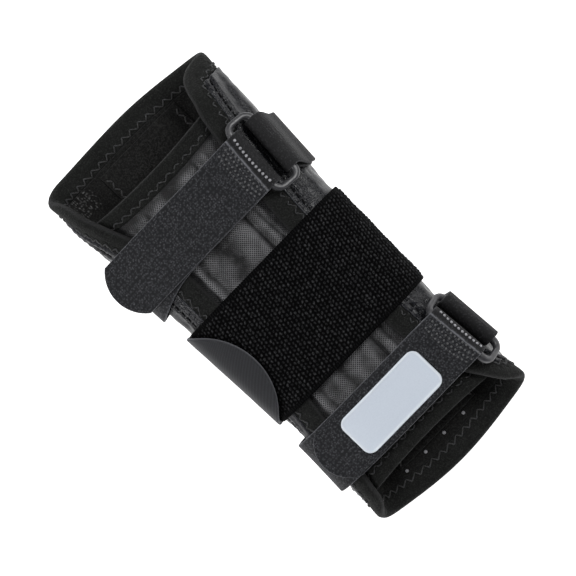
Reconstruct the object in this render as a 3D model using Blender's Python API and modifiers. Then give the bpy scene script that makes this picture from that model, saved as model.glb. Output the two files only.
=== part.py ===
"""Wrist guard: a padded sleeve with a mesh front, two ring-and-hook straps and a wide elastic band.

The guard lies on its back. +Y points to the forearm end, +X to the ring side and +Z up through
the open front. Sizes below are in millimetres and MM turns them into Blender's metres. The last
step moves the origin to the middle of the footprint, on the surface that the guard lies on.
"""
import functools
import math

import bmesh
import bpy
import numpy as np
from mathutils import Matrix, Vector

MM = 0.001

# Sleeve: half width and height of its outer surface, measured on the leather
FOREARM_END = 97.0
HAND_END = -99.0
WAIST_Y = -45.0
WAIST_HALF_WIDTH = 38.7
FOREARM_FLARE = 5.3
HAND_FLARE = 2.8
FOREARM_HEIGHT = 33.0
WAIST_HEIGHT = 30.5
HAND_HEIGHT = 31.5
END_HEIGHT = 19.0            # the side walls dip towards both open ends
END_DIP_LENGTH = 22.0
END_CORNER_RADIUS = 7.0
BACK_SEAM_STATION = 0.9
END_ARCH = 6.0               # how far the end edges fall back as they climb the sides
FLAT_BACK = 0.58             # part of the half width that lies flat
SHOULDER_HEIGHT = 0.44       # where the side is widest, as a part of the height
CROWN_POWER = 2.5            # superellipse power of the front

# Layers, as distances out from the leather surface
GAP = 0.3
CORNER_GAP = 3.7             # between border strips, where the sleeve curves both ways
SEAM_GAP = 0.9               # between neighbouring panels, along the surface
LEATHER = 1.3
LINING = 2.3
LINING_GAP = 0.4
FACING = LEATHER + LINING_GAP + LINING
MESH = 0.6
MESH_BINDING = 2.0
WEBBING = 1.6
TAB = 1.5
HOOK_TAPE = 0.8
LABEL = 0.8
FIRST_LAYER = GAP + WEBBING / 2
HOOK_LAYER = GAP + WEBBING + GAP + HOOK_TAPE / 2
TAB_LAYER = HOOK_LAYER + HOOK_TAPE / 2 + GAP + TAB / 2
BACK_HEIGHT = GAP + WEBBING  # the bands under the back hold the sleeve this far up
FACING_WIDTH = 9.5
FLAP_EDGE_MARGIN = 2.2       # the free edges stay this far inside the widest line

# Front opening: distance of each flap's free edge from the centre line, hand end to forearm end
RIGHT_FLAP_EDGE = [(-99.0, 38.0), (-90.0, 35.0), (-75.0, 25.2), (-58.0, 18.5), (-40.5, 17.0),
                   (27.0, 17.0), (57.6, 21.6), (78.4, 25.5), (84.0, 27.0), (90.0, 30.5),
                   (97.0, 36.5)]
LEFT_FLAP_EDGE = [(-99.0, 38.0), (-89.0, 35.0), (-75.0, 33.5), (-38.0, 26.6), (15.0, 24.3),
                  (30.0, 24.3), (59.4, 30.6), (72.0, 36.0), (82.0, 38.5), (90.0, 39.5),
                  (97.0, 40.5)]

# Mesh front, tucked under the flaps
MESH_TOP = 70.5
MESH_BOTTOM = -79.5
MESH_SMILE = 2.5             # the bindings' ends sit this much further out than their middles
MESH_BINDING_WIDTH = 8.0
MESH_TUCK = 7.0
MESH_DROP = 1.0              # clear space between the flaps and what is tucked under them
MESH_LAYER = -(FACING + MESH_DROP + MESH / 2)
MESH_BINDING_LAYER = -(FACING + MESH_DROP + MESH_BINDING / 2)

# Palm stay and its pocket, inside the back
STAY_WIDTH = 30.0
STAY_THICKNESS = 1.8
STAY_LENGTH = 160.0
STAY_CENTRE_Y = 2.0
POCKET_HALF_WIDTH = 17.6
POCKET_CLOTH = 0.8
POCKET_BOTTOM = -84.0
POCKET_TOP = 85.0

# Wide elastic band and its hook tab
BAND_WIDTH = 50.8
BAND_Y = -10.8
BAND_START = 3.70            # section stations, see Section
BAND_END = -1.93
MID_TAB_ROOT = -2.02
MID_TAB_TIP_X = -28.0
MID_TAB_TIP_RADIUS = 33.5
MID_TAB_BULGE = 1.4
MID_TAB_RISE = 0.5           # extra height where the tab crosses its own root
MID_HOOK_INSET = 4.0
MID_HOOK_START = 0.66        # part of the tab's length, from its root
MID_TAB_RISE_LENGTH = 9.0

# Rings and ring straps
STRAP_WIDTH = 25.4
RING_WIRE = 3.2
RING_SPACING = 11.4          # between the middles of the two long sides
RING_LENGTH = 35.4
RING_CORNER = 3.5
FOLD_RADIUS = 4.1            # outside of the strap where it turns round the ring
LOOP_RADIUS = 3.7            # outside of the anchor loop
RING_LIFT = 4.45            # of the ring's middle, so that the strap's turn clears the leather
STRAP_RUN_START = 15.0       # from the ring's bar to where the strap lies flat
FOLD_START = -100.0          # degrees round the ring's bar
FOLD_END = 70.0
STRAP_BACK_END = 0.55        # section station where a strap is sewn to the back
LOOP_APPROACH = 6.5          # from under the outer bar to where the anchor leaves the leather
ANCHOR_TAIL = 8.0            # of the anchor's end, sewn back on itself
HOOK_INSET = 1.6
TURN_STEPS = 9               # steps along a strap's tab: its turn, its drop to the sleeve,
DROP_STEPS = 4               # its run over the front and its straight end
RUN_STEPS = 8
TAIL_STEPS = 4
TAPE_START_STEP = TURN_STEPS + DROP_STEPS + 3
UPPER = dict(y=44.4, ring_x=31.1, lean=0.0, tilt=5.0, tip_x=-51.3, tip_radius=16.0,
             droop_x=-28.0, side_bulge=2.4, skew=-6.0, anchor_bulge=0.3)
LOWER = dict(y=-59.6, ring_x=36.2, lean=10.0, tilt=-5.5, tip_x=-41.4, tip_radius=13.6,
             droop_x=-24.5, side_bulge=2.5, skew=0.0, anchor_bulge=-0.2)
SIDE_BULGE = (-1.9, 0.34)    # middle and spread of a strap's stand-off, in section stations
SIDE_SKEW = (-2.0, 0.7)
ANCHOR_BULGE = (2.0, 0.5)

# Label patch on the lower strap
LABEL_SIZE = (42.3, 17.1)
LABEL_X = -4.0
LABEL_Y = -60.3
LABEL_CORNER = 3.6

# Mesh density
Y_STEP = 12.0


def smoothstep(value):
    value = min(1.0, max(0.0, value))
    return value * value * (3 - 2 * value)


def lerp(a, b, t):
    return a + (b - a) * t


def through(points, y):
    """A smooth value at y, read from a short list of (y, value) points."""
    ys = [p[0] for p in points]
    values = [p[1] for p in points]
    slopes = np.gradient(values, ys)
    y = min(max(y, ys[0]), ys[-1])
    i = min(int(np.searchsorted(ys, y, side="right")) - 1, len(ys) - 2)
    span = ys[i + 1] - ys[i]
    t = (y - ys[i]) / span
    near = (1 + 2 * t) * (1 - t) ** 2 * values[i] + t * t * (3 - 2 * t) * values[i + 1]
    return near + span * (t * (1 - t) ** 2 * slopes[i] - t * t * (1 - t) * slopes[i + 1])


def half_width(y):
    if y > WAIST_Y:
        width = WAIST_HALF_WIDTH + FOREARM_FLARE * ((y - WAIST_Y) / 140) ** 1.4
    else:
        width = WAIST_HALF_WIDTH + HAND_FLARE * ((WAIST_Y - y) / 53) ** 1.5
    past = END_CORNER_RADIUS - min(FOREARM_END - y, y - HAND_END)
    if past > 0:
        past = min(past, 0.9 * END_CORNER_RADIUS)
        width -= END_CORNER_RADIUS - math.sqrt(END_CORNER_RADIUS ** 2 - past ** 2)
    return width


def height(y):
    if y > WAIST_Y:
        tall = lerp(WAIST_HEIGHT, FOREARM_HEIGHT, smoothstep((y - WAIST_Y) / 110))
    else:
        tall = lerp(WAIST_HEIGHT, HAND_HEIGHT, smoothstep((WAIST_Y - y) / 30))
    to_end = min(FOREARM_END - y, y - HAND_END)
    return lerp(END_HEIGHT, tall, smoothstep(to_end / END_DIP_LENGTH))


class Section:
    """The sleeve's outline at one y. A station counts from the middle of the back: 0 to 1 is
    flat, 1 to 2 the turn up to the widest point, 2 to 3 the front as far as its middle.
    Negative stations are on the left, and a whole turn is 6."""

    def __init__(self, y):
        self.a = half_width(y)
        self.top = height(y)
        self.shoulder = BACK_HEIGHT + SHOULDER_HEIGHT * (self.top - BACK_HEIGHT)
        flat = FLAT_BACK * self.a
        turns = np.linspace(0, math.pi / 2, 60)
        corner_x = flat + (self.a - flat) * np.sin(turns)
        corner_z = self.shoulder - (self.shoulder - BACK_HEIGHT) * np.cos(turns)
        front_x = self.a * np.cos(turns) ** (2 / CROWN_POWER)
        front_z = self.shoulder + (self.top - self.shoulder) * np.sin(turns) ** (2 / CROWN_POWER)
        self.x = np.concatenate([[0.0], corner_x, front_x[1:]])
        self.z = np.concatenate([[BACK_HEIGHT], corner_z, front_z[1:]])
        steps = np.hypot(np.diff(self.x), np.diff(self.z))
        self.length = np.concatenate([[0.0], np.cumsum(steps)])
        self.marks = [0.0, self.length[1], self.length[60], self.length[-1]]

    def distance(self, station):
        """Arc length from the middle of the back to a station, negative on the left."""
        turns = math.floor((station + 3) / 6)
        inner = station - 6 * turns
        along = float(np.interp(abs(inner), [0, 1, 2, 3], self.marks))
        return math.copysign(along, inner) + 2 * turns * self.marks[3]

    def station(self, distance):
        whole = 2 * self.marks[3]
        turns = math.floor((distance + self.marks[3]) / whole)
        inner = distance - turns * whole
        return math.copysign(float(np.interp(abs(inner), self.marks, [0, 1, 2, 3])), inner) + 6 * turns

    def front_station(self, x):
        """The station on the front that lies at x."""
        first = 60
        along = float(np.interp(-abs(x), -self.x[first:], self.length[first:]))
        return math.copysign(self.station(along), x)

    def on_outline(self, distance):
        whole = 2 * self.marks[3]
        inner = distance - whole * math.floor((distance + self.marks[3]) / whole)
        x = float(np.interp(abs(inner), self.length, self.x))
        z = float(np.interp(abs(inner), self.length, self.z))
        return math.copysign(x, inner), z

    def point(self, station, lift):
        """The point lifted off the outline, with the outline's direction there."""
        along = self.distance(station)
        x, z = self.on_outline(along)
        x0, z0 = self.on_outline(along - 0.6)
        x1, z1 = self.on_outline(along + 0.6)
        run = math.hypot(x1 - x0, z1 - z0)
        tx, tz = (x1 - x0) / run, (z1 - z0) / run
        return x + lift * tz, z - lift * tx, tx, tz


@functools.lru_cache(maxsize=4096)
def section_at(y_key):
    return Section(y_key / 1000)


def section(y):
    return section_at(round(y * 1000))


def skin(y, station, lift):
    x, z, _, _ = section(y).point(station, lift)
    return Vector((x, y, z))


# ---- scene and meshes --------------------------------------------------------------------

def clear_scene():
    for item in list(bpy.data.objects):
        bpy.data.objects.remove(item, do_unlink=True)


def new_collection(name):
    collection = bpy.data.collections.new(name)
    bpy.context.scene.collection.children.link(collection)
    return collection


def material(name, colour, roughness, metallic=0.0):
    made = bpy.data.materials.new(name)
    made.use_nodes = True
    shader = made.node_tree.nodes["Principled BSDF"]
    shader.inputs["Base Color"].default_value = (*colour, 1.0)
    shader.inputs["Roughness"].default_value = roughness
    shader.inputs["Metallic"].default_value = metallic
    made.diffuse_color = (*colour, 1.0)
    return made


def add_object(name, data, finish, origin=None):
    made = bpy.data.objects.new(name, data)
    data.materials.append(finish)
    PARTS.objects.link(made)
    made.parent = ROOT
    if origin is not None:
        made.location = origin * MM
    return made


def add_solidify(item, thickness):
    solid = item.modifiers.new("thickness", "SOLIDIFY")
    solid.thickness = thickness * MM
    solid.offset = 0.0
    solid.use_even_offset = True


def sheet(name, place, across, along, thickness, finish, origin=None):
    """A grid laid by place(u, v) and given a thickness, half to each side."""
    start = origin or Vector((0, 0, 0))
    data = bpy.data.meshes.new(name)
    bm = bmesh.new()
    bmesh.ops.create_grid(bm, x_segments=across, y_segments=along, size=0.5)
    for vert in bm.verts:
        vert.co = (place(vert.co.x + 0.5, vert.co.y + 0.5) - start) * MM
    bmesh.ops.recalc_face_normals(bm, faces=bm.faces)
    bm.to_mesh(data)
    bm.free()
    item = add_object(name, data, finish, origin)
    add_solidify(item, thickness)
    data.shade_smooth()
    data.set_sharp_from_angle(angle=math.radians(35))
    return item


def steps(length, step):
    return max(2, round(length / step))


# ---- sleeve ------------------------------------------------------------------------------

def end_edge(end, distance):
    """Where the sleeve's end edge lies at a distance round from the middle of the back."""
    fall = END_ARCH * smoothstep(abs(distance) / 70)
    return end - math.copysign(fall, end)


def flap_edge(side, y):
    """Arc length from the middle of the back to a flap's free edge."""
    edge = RIGHT_FLAP_EDGE if side > 0 else LEFT_FLAP_EDGE
    cut = section(y)
    x = min(through(edge, y), cut.a - FLAP_EDGE_MARGIN)
    return cut.distance(cut.front_station(side * x))


def pattern_point(lines, counts, low, high, u, v, lift):
    """A point of a panel that lines(y) divide into stretches and whose ends are low(s), high(s)."""
    column = u * sum(counts)
    stretch = 0
    while stretch < len(counts) - 1 and column > counts[stretch]:
        column -= counts[stretch]
        stretch += 1
    share = column / counts[stretch]
    y = lerp(HAND_END, FOREARM_END, v)
    for _ in range(3):
        cut = section(y)
        left, right = lines[stretch](y), lines[stretch + 1](y)
        station = lerp(cut.station(left), cut.station(right), share)
        distance = cut.distance(station)
        y = lerp(low(distance), high(distance), v)
    return skin(y, section(y).station(distance), lift)


def end_line(end, inset):
    return lambda distance: end_edge(end, distance) - math.copysign(inset, end)


def side_line(side, inset):
    return lambda y: flap_edge(side, y) - side * inset


def panel(name, lines, counts, low, high, lift, thickness, along, finish, bunch=0.0):
    """A panel of the sleeve; bunch moves its rows towards both ends, where it curves most."""
    def place(u, v):
        eased = lerp(v, 0.5 - 0.5 * math.cos(math.pi * v), bunch)
        return pattern_point(lines, counts, low, high, u, eased, lift)
    return sheet(name, place, sum(counts), along, thickness, finish)


def make_facings(finish):
    """The neoprene border that runs round the whole edge, in four strips."""
    lift = -FACING / 2
    low, high = end_line(HAND_END, 0), end_line(FOREARM_END, 0)
    right = [side_line(1, FACING_WIDTH), side_line(1, 0)]
    left = [side_line(-1, 0), side_line(-1, FACING_WIDTH)]
    panel("facing_right", right, [3], low, high, lift, FACING, 26, finish, bunch=0.8)
    panel("facing_left", left, [3], low, high, lift, FACING, 26, finish, bunch=0.8)
    inset = FACING_WIDTH + CORNER_GAP
    between = [side_line(-1, inset), side_line(1, inset)]
    panel("facing_forearm_end", between, [28], end_line(FOREARM_END, FACING_WIDTH), high, lift,
          FACING, 3, finish)
    panel("facing_hand_end", between, [28], low, end_line(HAND_END, FACING_WIDTH), lift,
          FACING, 3, finish)


def back_seam(side, extra):
    """Where a leather side meets the neoprene back."""
    return lambda y: section(y).distance(side * BACK_SEAM_STATION) + side * extra


def make_sleeve_panels(leather, neoprene, brushed):
    """The lining, and the leather sides and neoprene back over it, all inside the border."""
    inset = FACING_WIDTH + SEAM_GAP
    low, high = end_line(HAND_END, inset), end_line(FOREARM_END, inset)
    rows = steps(FOREARM_END - HAND_END, Y_STEP)
    side, back = 12, 6
    edge_left, edge_right = side_line(-1, inset), side_line(1, inset)
    seam_left, seam_right = back_seam(-1, 0), back_seam(1, 0)
    panel("lining", [edge_left, seam_left, seam_right, edge_right], [side, back, side],
          low, high, -(LEATHER + LINING_GAP + LINING / 2), LINING, rows, brushed)
    panel("outer_back_panel", [seam_left, seam_right], [back], low, high, -LEATHER / 2,
          LEATHER, rows, neoprene)
    panel("side_panel_right", [back_seam(1, SEAM_GAP), edge_right], [side], low, high,
          -LEATHER / 2, LEATHER, rows, leather)
    panel("side_panel_left", [edge_left, back_seam(-1, SEAM_GAP)], [side], low, high,
          -LEATHER / 2, LEATHER, rows, leather)


def front_strip(name, y_low, y_high, lift, thickness, rows, finish):
    """A strip across the front whose two ends are tucked under the flaps."""
    def place(u, v):
        bow = MESH_SMILE * (2 * u - 1) ** 2
        y = lerp(y_low(bow), y_high(bow), v)
        cut = section(y)
        left = flap_edge(-1, y) + MESH_TUCK + 2 * cut.marks[3]
        right = flap_edge(1, y) - MESH_TUCK
        return skin(y, cut.station(lerp(right, left, u)), lift)
    return sheet(name, place, 18, rows, thickness, finish)


def make_mesh_front(mesh, neoprene):
    top_seam, bottom_seam = MESH_TOP - MESH_BINDING_WIDTH, MESH_BOTTOM + MESH_BINDING_WIDTH
    front_strip("mesh_panel", lambda bow: bottom_seam + GAP - bow,
                lambda bow: top_seam - GAP + bow, MESH_LAYER, MESH,
                steps(top_seam - bottom_seam, Y_STEP), mesh)
    front_strip("mesh_top_binding", lambda bow: top_seam + bow, lambda bow: MESH_TOP + bow,
                MESH_BINDING_LAYER, MESH_BINDING, 2, neoprene)
    front_strip("mesh_bottom_binding", lambda bow: MESH_BOTTOM - bow,
                lambda bow: bottom_seam - bow, MESH_BINDING_LAYER, MESH_BINDING, 2, neoprene)


def make_stay(cloth, metal):
    """The flat stay under the palm and the pocket of cloth that it slides out of."""
    floor = BACK_HEIGHT + FACING + GAP
    roof = floor + STAY_THICKNESS + 2 * GAP
    profile = [(-POCKET_HALF_WIDTH, floor), (-POCKET_HALF_WIDTH, roof),
               (POCKET_HALF_WIDTH, roof), (POCKET_HALF_WIDTH, floor)]

    def place(u, v):
        x, z = profile[round(3 * u)]
        return Vector((x, lerp(POCKET_BOTTOM, POCKET_TOP, v), z + POCKET_CLOTH / 2))
    sheet("stay_pocket", place, 3, 1, POCKET_CLOTH, cloth)

    centre = Vector((0, STAY_CENTRE_Y, floor + GAP + STAY_THICKNESS / 2))
    outline = bpy.data.curves.new("palm_stay", "CURVE")
    outline.dimensions = "2D"
    outline.fill_mode = "BOTH"
    outline.extrude = STAY_THICKNESS / 2 * MM
    spline = outline.splines.new("POLY")
    points = rounded_rectangle(STAY_WIDTH, STAY_LENGTH, STAY_WIDTH * 0.45, 6)
    lay_poly(spline, points)
    add_object("palm_stay", outline, metal, centre)


def rounded_rectangle(width, length, radius, per_corner):
    """Points round a rectangle with rounded corners, centred on the origin."""
    points = []
    for quarter in range(4):
        sx = 1 if quarter in (0, 3) else -1
        sy = 1 if quarter in (0, 1) else -1
        centre = Vector((sx * (width / 2 - radius), sy * (length / 2 - radius)))
        for k in range(per_corner + 1):
            turn = math.pi / 2 * (quarter + k / per_corner)
            points.append(centre + radius * Vector((math.cos(turn), math.sin(turn))))
    return points


def lay_poly(spline, points, x_shift=0.0):
    spline.points.add(len(points) - 1)
    for knot, point in zip(spline.points, points):
        knot.co = ((point[0] + x_shift) * MM, point[1] * MM, 0.0, 1.0)
    spline.use_cyclic_u = True


# ---- wide band ---------------------------------------------------------------------------

def bump(station, shape):
    """A smooth hump of height 1 with a middle and a spread given in section stations."""
    middle, spread = shape
    return math.exp(-((station - middle) / spread) ** 2)


def wrap(name, start, end, y_centre, width, lift, thickness, across, along, finish,
         bulge=0.0, skew=0.0):
    """A strap laid round the sleeve between two stations that may depend on y."""
    def place(u, v):
        y = y_centre + width * (v - 0.5)
        station = lerp(start(y), end(y), u)
        y += skew * bump(station, SIDE_SKEW)
        return skin(y, station, lift + bulge * bump(station, SIDE_BULGE))
    return sheet(name, place, across, along, thickness, finish)


def mid_tab_point(y, u, inset, drop):
    """A point of the wide band's hook tab, from its root at the side to its curved end."""
    cut = section(y)
    reach = y - BAND_Y
    end_x = MID_TAB_TIP_X - MID_TAB_TIP_RADIUS + math.sqrt(MID_TAB_TIP_RADIUS ** 2 - reach ** 2)
    root = cut.distance(MID_TAB_ROOT)
    end = cut.distance(cut.front_station(end_x)) + inset
    distance = lerp(root - inset, end, u)
    rise = smoothstep((root - distance) / MID_TAB_RISE_LENGTH)
    lift = lerp(FIRST_LAYER + MID_TAB_BULGE, TAB_LAYER + MID_TAB_RISE, rise)
    return skin(y, cut.station(distance), lift - drop)


def make_mid_band(elastic, hook_cloth, hook):
    wrap("mid_band", lambda y: BAND_END, lambda y: BAND_START, BAND_Y, BAND_WIDTH, FIRST_LAYER,
         WEBBING, 60, 3, elastic)
    root = skin(BAND_Y, MID_TAB_ROOT, FIRST_LAYER + MID_TAB_BULGE)

    def tab(u, v):
        return mid_tab_point(BAND_Y + BAND_WIDTH * (v - 0.5), u, 0.0, 0.0)

    def tape(u, v):
        width = BAND_WIDTH - 2 * MID_HOOK_INSET
        drop = TAB / 2 + GAP + HOOK_TAPE / 2 + MID_TAB_RISE
        y = BAND_Y + width * (v - 0.5)
        return mid_tab_point(y, lerp(MID_HOOK_START, 1.0, u), MID_HOOK_INSET, drop)
    sheet("mid_tab", tab, 14, 10, TAB, hook_cloth, root)
    sheet("mid_hook_tape", tape, 7, 10, HOOK_TAPE, hook, root)
    return root


# ---- rings and straps --------------------------------------------------------------------

class RingSeat:
    """Where a ring lies: its middle, its slope across the sleeve and its two long bars."""

    def __init__(self, spec):
        self.y = spec["y"]
        cut = section(self.y)
        slope = 0.0
        for _ in range(8):
            foot = spec["ring_x"] - RING_LIFT * math.sin(slope)
            x, z, tx, tz = cut.point(cut.front_station(foot), RING_LIFT)
            slope = math.atan2(tz, -tx)
        self.slope = slope + math.radians(spec["lean"])
        self.out = Vector((math.cos(self.slope), 0, -math.sin(self.slope)))
        self.up = Vector((math.sin(self.slope), 0, math.cos(self.slope)))
        self.middle = Vector((x, self.y, z))
        self.shear = math.tan(math.radians(spec["tilt"]))
        self.bar = (Vector((0, 1, 0)) + self.shear * self.out).normalized()
        self.inner = self.middle - self.out * RING_SPACING / 2
        self.outer = self.middle + self.out * RING_SPACING / 2

    def around(self, side, y, degrees, radius):
        """A point round the inner (-1) or outer (+1) bar; 0 degrees is outwards, 90 is up."""
        start = self.inner if side < 0 else self.outer
        base = start + (y - self.y) * (Vector((0, 1, 0)) + self.shear * self.out)
        turn = math.radians(degrees)
        return base + radius * (math.cos(turn) * self.out + math.sin(turn) * self.up)

    def tangent(self, degrees):
        turn = math.radians(degrees)
        return -math.sin(turn) * self.out + math.cos(turn) * self.up


def hermite(start, start_way, end, end_way, count):
    """Points between two ends, the first and last left out."""
    reach = (end - start).length
    points = []
    for k in range(1, count):
        t = k / count
        points.append((1 + 2 * t) * (1 - t) ** 2 * start + t * t * (3 - 2 * t) * end
                      + reach * (t * (1 - t) ** 2 * start_way - t * t * (1 - t) * end_way))
    return points


def outline_way(y, station):
    _, _, tx, tz = section(y).point(station, 0.0)
    return Vector((tx, 0, tz))


def tab_route(spec, seat, y, tip_inset=0.0):
    """Middle line of a strap from its turn round the ring to its tip, at one y."""
    radius = FOLD_RADIUS - TAB / 2
    turn = [seat.around(-1, y, lerp(FOLD_START, FOLD_END, k / TURN_STEPS), radius)
            for k in range(TURN_STEPS + 1)]
    cut = section(y)
    run_x = seat.inner.x - STRAP_RUN_START
    first = skin(y, cut.front_station(run_x), TAB_LAYER)
    way = outline_way(y, cut.front_station(run_x))
    drop = hermite(turn[-1], seat.tangent(FOLD_END), first, way, DROP_STEPS)
    run = []
    for k in range(RUN_STEPS + 1):
        x = lerp(run_x, spec["droop_x"], k / RUN_STEPS)
        run.append(skin(y, cut.front_station(x), TAB_LAYER))
    last_way = outline_way(y, cut.front_station(spec["droop_x"]))
    reach = min(abs(y - spec["y"]), 0.999 * spec["tip_radius"])
    tip_x = spec["tip_x"] + spec["tip_radius"] - math.sqrt(spec["tip_radius"] ** 2 - reach ** 2)
    length = (run[-1].x - tip_x) / abs(last_way.x) - tip_inset
    tail = [run[-1] + last_way * length * k / TAIL_STEPS for k in range(1, TAIL_STEPS + 1)]
    return turn + drop + run + tail


def shift_route(route, amount):
    """A route moved sideways in its own plane, towards the sleeve for a negative amount."""
    moved = []
    for k, point in enumerate(route):
        way = route[min(k + 1, len(route) - 1)] - route[max(k - 1, 0)]
        way.normalize()
        moved.append(point + amount * Vector((way.z, 0, -way.x)))
    return moved


def along_route(route, t):
    """A point a fraction t of the way along a list of points, by count."""
    where = t * (len(route) - 1)
    k = min(int(where), len(route) - 2)
    return route[k].lerp(route[k + 1], where - k)


def cosine_v(v):
    """Rows bunched at the strap's edges, where a rounded tip turns fastest."""
    return 0.5 + 0.5 * math.sin(math.pi * (v - 0.5))


def make_strap(prefix, spec, seat, webbing, hook):
    """Strap base sewn to the back, and the tab that turns round the ring and back."""
    def tab(u, v):
        y = spec["y"] + STRAP_WIDTH * (cosine_v(v) - 0.5)
        route = tab_route(spec, seat, y)
        return route[round(u * (len(route) - 1))]
    count = len(tab_route(spec, seat, spec["y"])) - 1
    sheet(prefix + "_strap_tab", tab, count, 6, TAB, webbing, seat.inner)

    def tape(u, v):
        width = STRAP_WIDTH - 2 * HOOK_INSET
        y = spec["y"] + width * (cosine_v(v) - 0.5)
        route = shift_route(tab_route(spec, seat, y, HOOK_INSET), -(TAB + HOOK_TAPE) / 2 - GAP)
        return along_route(route, lerp(TAPE_START_STEP / count, 1.0, u))
    sheet(prefix + "_hook_tape", tape, 10, 6, HOOK_TAPE, hook, seat.inner)

    def inner_end(y):
        bar_x = seat.around(-1, y, 0, 0).x
        return section(y).front_station(bar_x - FOLD_RADIUS - 2 * GAP) - 6
    wrap(prefix + "_strap_base", inner_end, lambda y: -STRAP_BACK_END, spec["y"], STRAP_WIDTH,
         FIRST_LAYER, WEBBING, 30, 3, webbing, bulge=spec["side_bulge"], skew=spec["skew"])


def anchor_route(spec, seat, y):
    """Middle line of the webbing that is sewn to the back and loops round the outer bar."""
    cut = section(y)
    radius = LOOP_RADIUS - WEBBING / 2
    loop = [seat.around(1, y, -90 - 20 * k, radius) for k in range(10)]
    bar = seat.around(1, y, 0, 0)
    under = cut.station(cut.distance(cut.front_station(bar.x - RING_LIFT * math.sin(seat.slope)))
                        - LOOP_APPROACH)
    wide = spec["anchor_bulge"] * (y - spec["y"]) / STRAP_WIDTH * 2 + abs(spec["anchor_bulge"])

    def lift(station, layer):
        return layer + wide * bump(station, ANCHOR_BULGE)
    base = []
    for k in range(20):
        station = lerp(STRAP_BACK_END, under, k / 19)
        base.append(skin(y, station, lift(station, FIRST_LAYER)))
    way_in = outline_way(y, under)
    rise = hermite(base[-1], way_in, loop[0], seat.tangent(-90) * -1, 3)
    tail_start = cut.station(cut.distance(under) - 1.0)
    tail_end = cut.station(cut.distance(under) - 1.0 - ANCHOR_TAIL)
    upper_layer = FIRST_LAYER + WEBBING + GAP
    tail = []
    for k in range(4):
        station = lerp(tail_start, tail_end, k / 3)
        tail.append(skin(y, station, lift(station, upper_layer)))
    fall = hermite(loop[-1], seat.tangent(90) * -1, tail[0], outline_way(y, tail_start) * -1, 3)
    return base + rise + loop + fall + tail


def make_anchor(prefix, spec, seat, webbing):
    count = len(anchor_route(spec, seat, spec["y"])) - 1

    def place(u, v):
        y = spec["y"] + STRAP_WIDTH * (v - 0.5)
        return anchor_route(spec, seat, y)[round(u * count)]
    sheet(prefix + "_ring_anchor", place, count, 3, WEBBING, webbing)


def make_ring(prefix, seat, plastic):
    """A rounded rectangle of wire whose origin is on the bar inside the anchor loop."""
    data = bpy.data.curves.new(prefix + "_ring", "CURVE")
    data.dimensions = "3D"
    data.bevel_depth = RING_WIRE / 2 * MM
    data.bevel_resolution = 2
    spline = data.splines.new("POLY")
    points = rounded_rectangle(RING_SPACING, RING_LENGTH - RING_WIRE, RING_CORNER, 5)
    lay_poly(spline, points, -RING_SPACING / 2)
    ring = add_object(prefix + "_ring", data, plastic)
    across = seat.bar.cross(seat.up)
    turn = Matrix((across, seat.bar, seat.up)).transposed()
    ring.matrix_local = Matrix.Translation(seat.outer * MM) @ turn.to_4x4()


# ---- label -------------------------------------------------------------------------------

def make_label(finish, origin):
    """A plain flexible patch with round corners, bent over the lower strap."""
    width, length = LABEL_SIZE
    rows = 6

    def place(u, v):
        y = LABEL_Y + length * (cosine_v(v) - 0.5)
        reach = abs(y - LABEL_Y) - (length / 2 - LABEL_CORNER)
        trim = 0.0
        if reach > 0:
            trim = LABEL_CORNER - math.sqrt(max(0.0, LABEL_CORNER ** 2 - reach ** 2))
        x = LABEL_X + (width - 2 * trim) * (u - 0.5)
        lift = TAB_LAYER + TAB / 2 + GAP + LABEL / 2
        return skin(y, section(y).front_station(x), lift)
    sheet("label_patch", place, 8, rows, LABEL, finish, origin)


# ---- assembly ----------------------------------------------------------------------------

def centre_on_footprint():
    """Put the origin in the middle of the footprint, on the surface below."""
    bpy.context.view_layer.update()
    graph = bpy.context.evaluated_depsgraph_get()
    low, high = Vector((math.inf,) * 3), Vector((-math.inf,) * 3)
    for item in PARTS.objects:
        if item.type == "EMPTY":
            continue
        shape = item.evaluated_get(graph)
        data = shape.to_mesh()
        for vert in data.vertices:
            point = shape.matrix_world @ vert.co
            low = Vector(map(min, low, point))
            high = Vector(map(max, high, point))
        shape.to_mesh_clear()
    ROOT.location = (-(low.x + high.x) / 2, -(low.y + high.y) / 2, -low.z)


def build():
    leather = material("leather", (0.020, 0.021, 0.028), 0.35)
    neoprene = material("neoprene", (0.011, 0.012, 0.011), 0.85)
    brushed = material("brushed_lining", (0.010, 0.010, 0.010), 0.95)
    mesh = material("mesh_fabric", (0.035, 0.035, 0.038), 0.55)
    elastic = material("loop_elastic", (0.009, 0.009, 0.010), 0.90)
    hook_cloth = material("hook_tab_cloth", (0.024, 0.025, 0.031), 0.75)
    webbing = material("strap_webbing", (0.022, 0.022, 0.027), 0.80)
    hook = material("hook_tape", (0.012, 0.012, 0.014), 0.60)
    plastic = material("ring_plastic", (0.060, 0.060, 0.066), 0.30)
    metal = material("stay_metal", (0.62, 0.63, 0.65), 0.35, 1.0)
    patch = material("label_rubber", (0.55, 0.61, 0.70), 0.45)

    make_facings(neoprene)
    make_sleeve_panels(leather, neoprene, brushed)
    make_mesh_front(mesh, neoprene)
    make_stay(brushed, metal)
    make_mid_band(elastic, hook_cloth, hook)
    for prefix, spec in (("upper", UPPER), ("lower", LOWER)):
        seat = RingSeat(spec)
        make_ring(prefix, seat, plastic)
        make_anchor(prefix, spec, seat, webbing)
        make_strap(prefix, spec, seat, webbing, hook)
    make_label(patch, RingSeat(LOWER).inner)
    centre_on_footprint()


clear_scene()
PARTS = new_collection("wrist_guard")
CUTTERS = new_collection("cutters")
ROOT = bpy.data.objects.new("wrist_guard_origin", None)
PARTS.objects.link(ROOT)
build()
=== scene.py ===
"""Looks of the wrist guard: every soft layer, stitch and material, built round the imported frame.

Sizes are in millimetres in the guard's own frame: +Y to the forearm end, +X to the ring side,
+Z up through the open front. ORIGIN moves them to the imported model's place.
"""
import math

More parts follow.
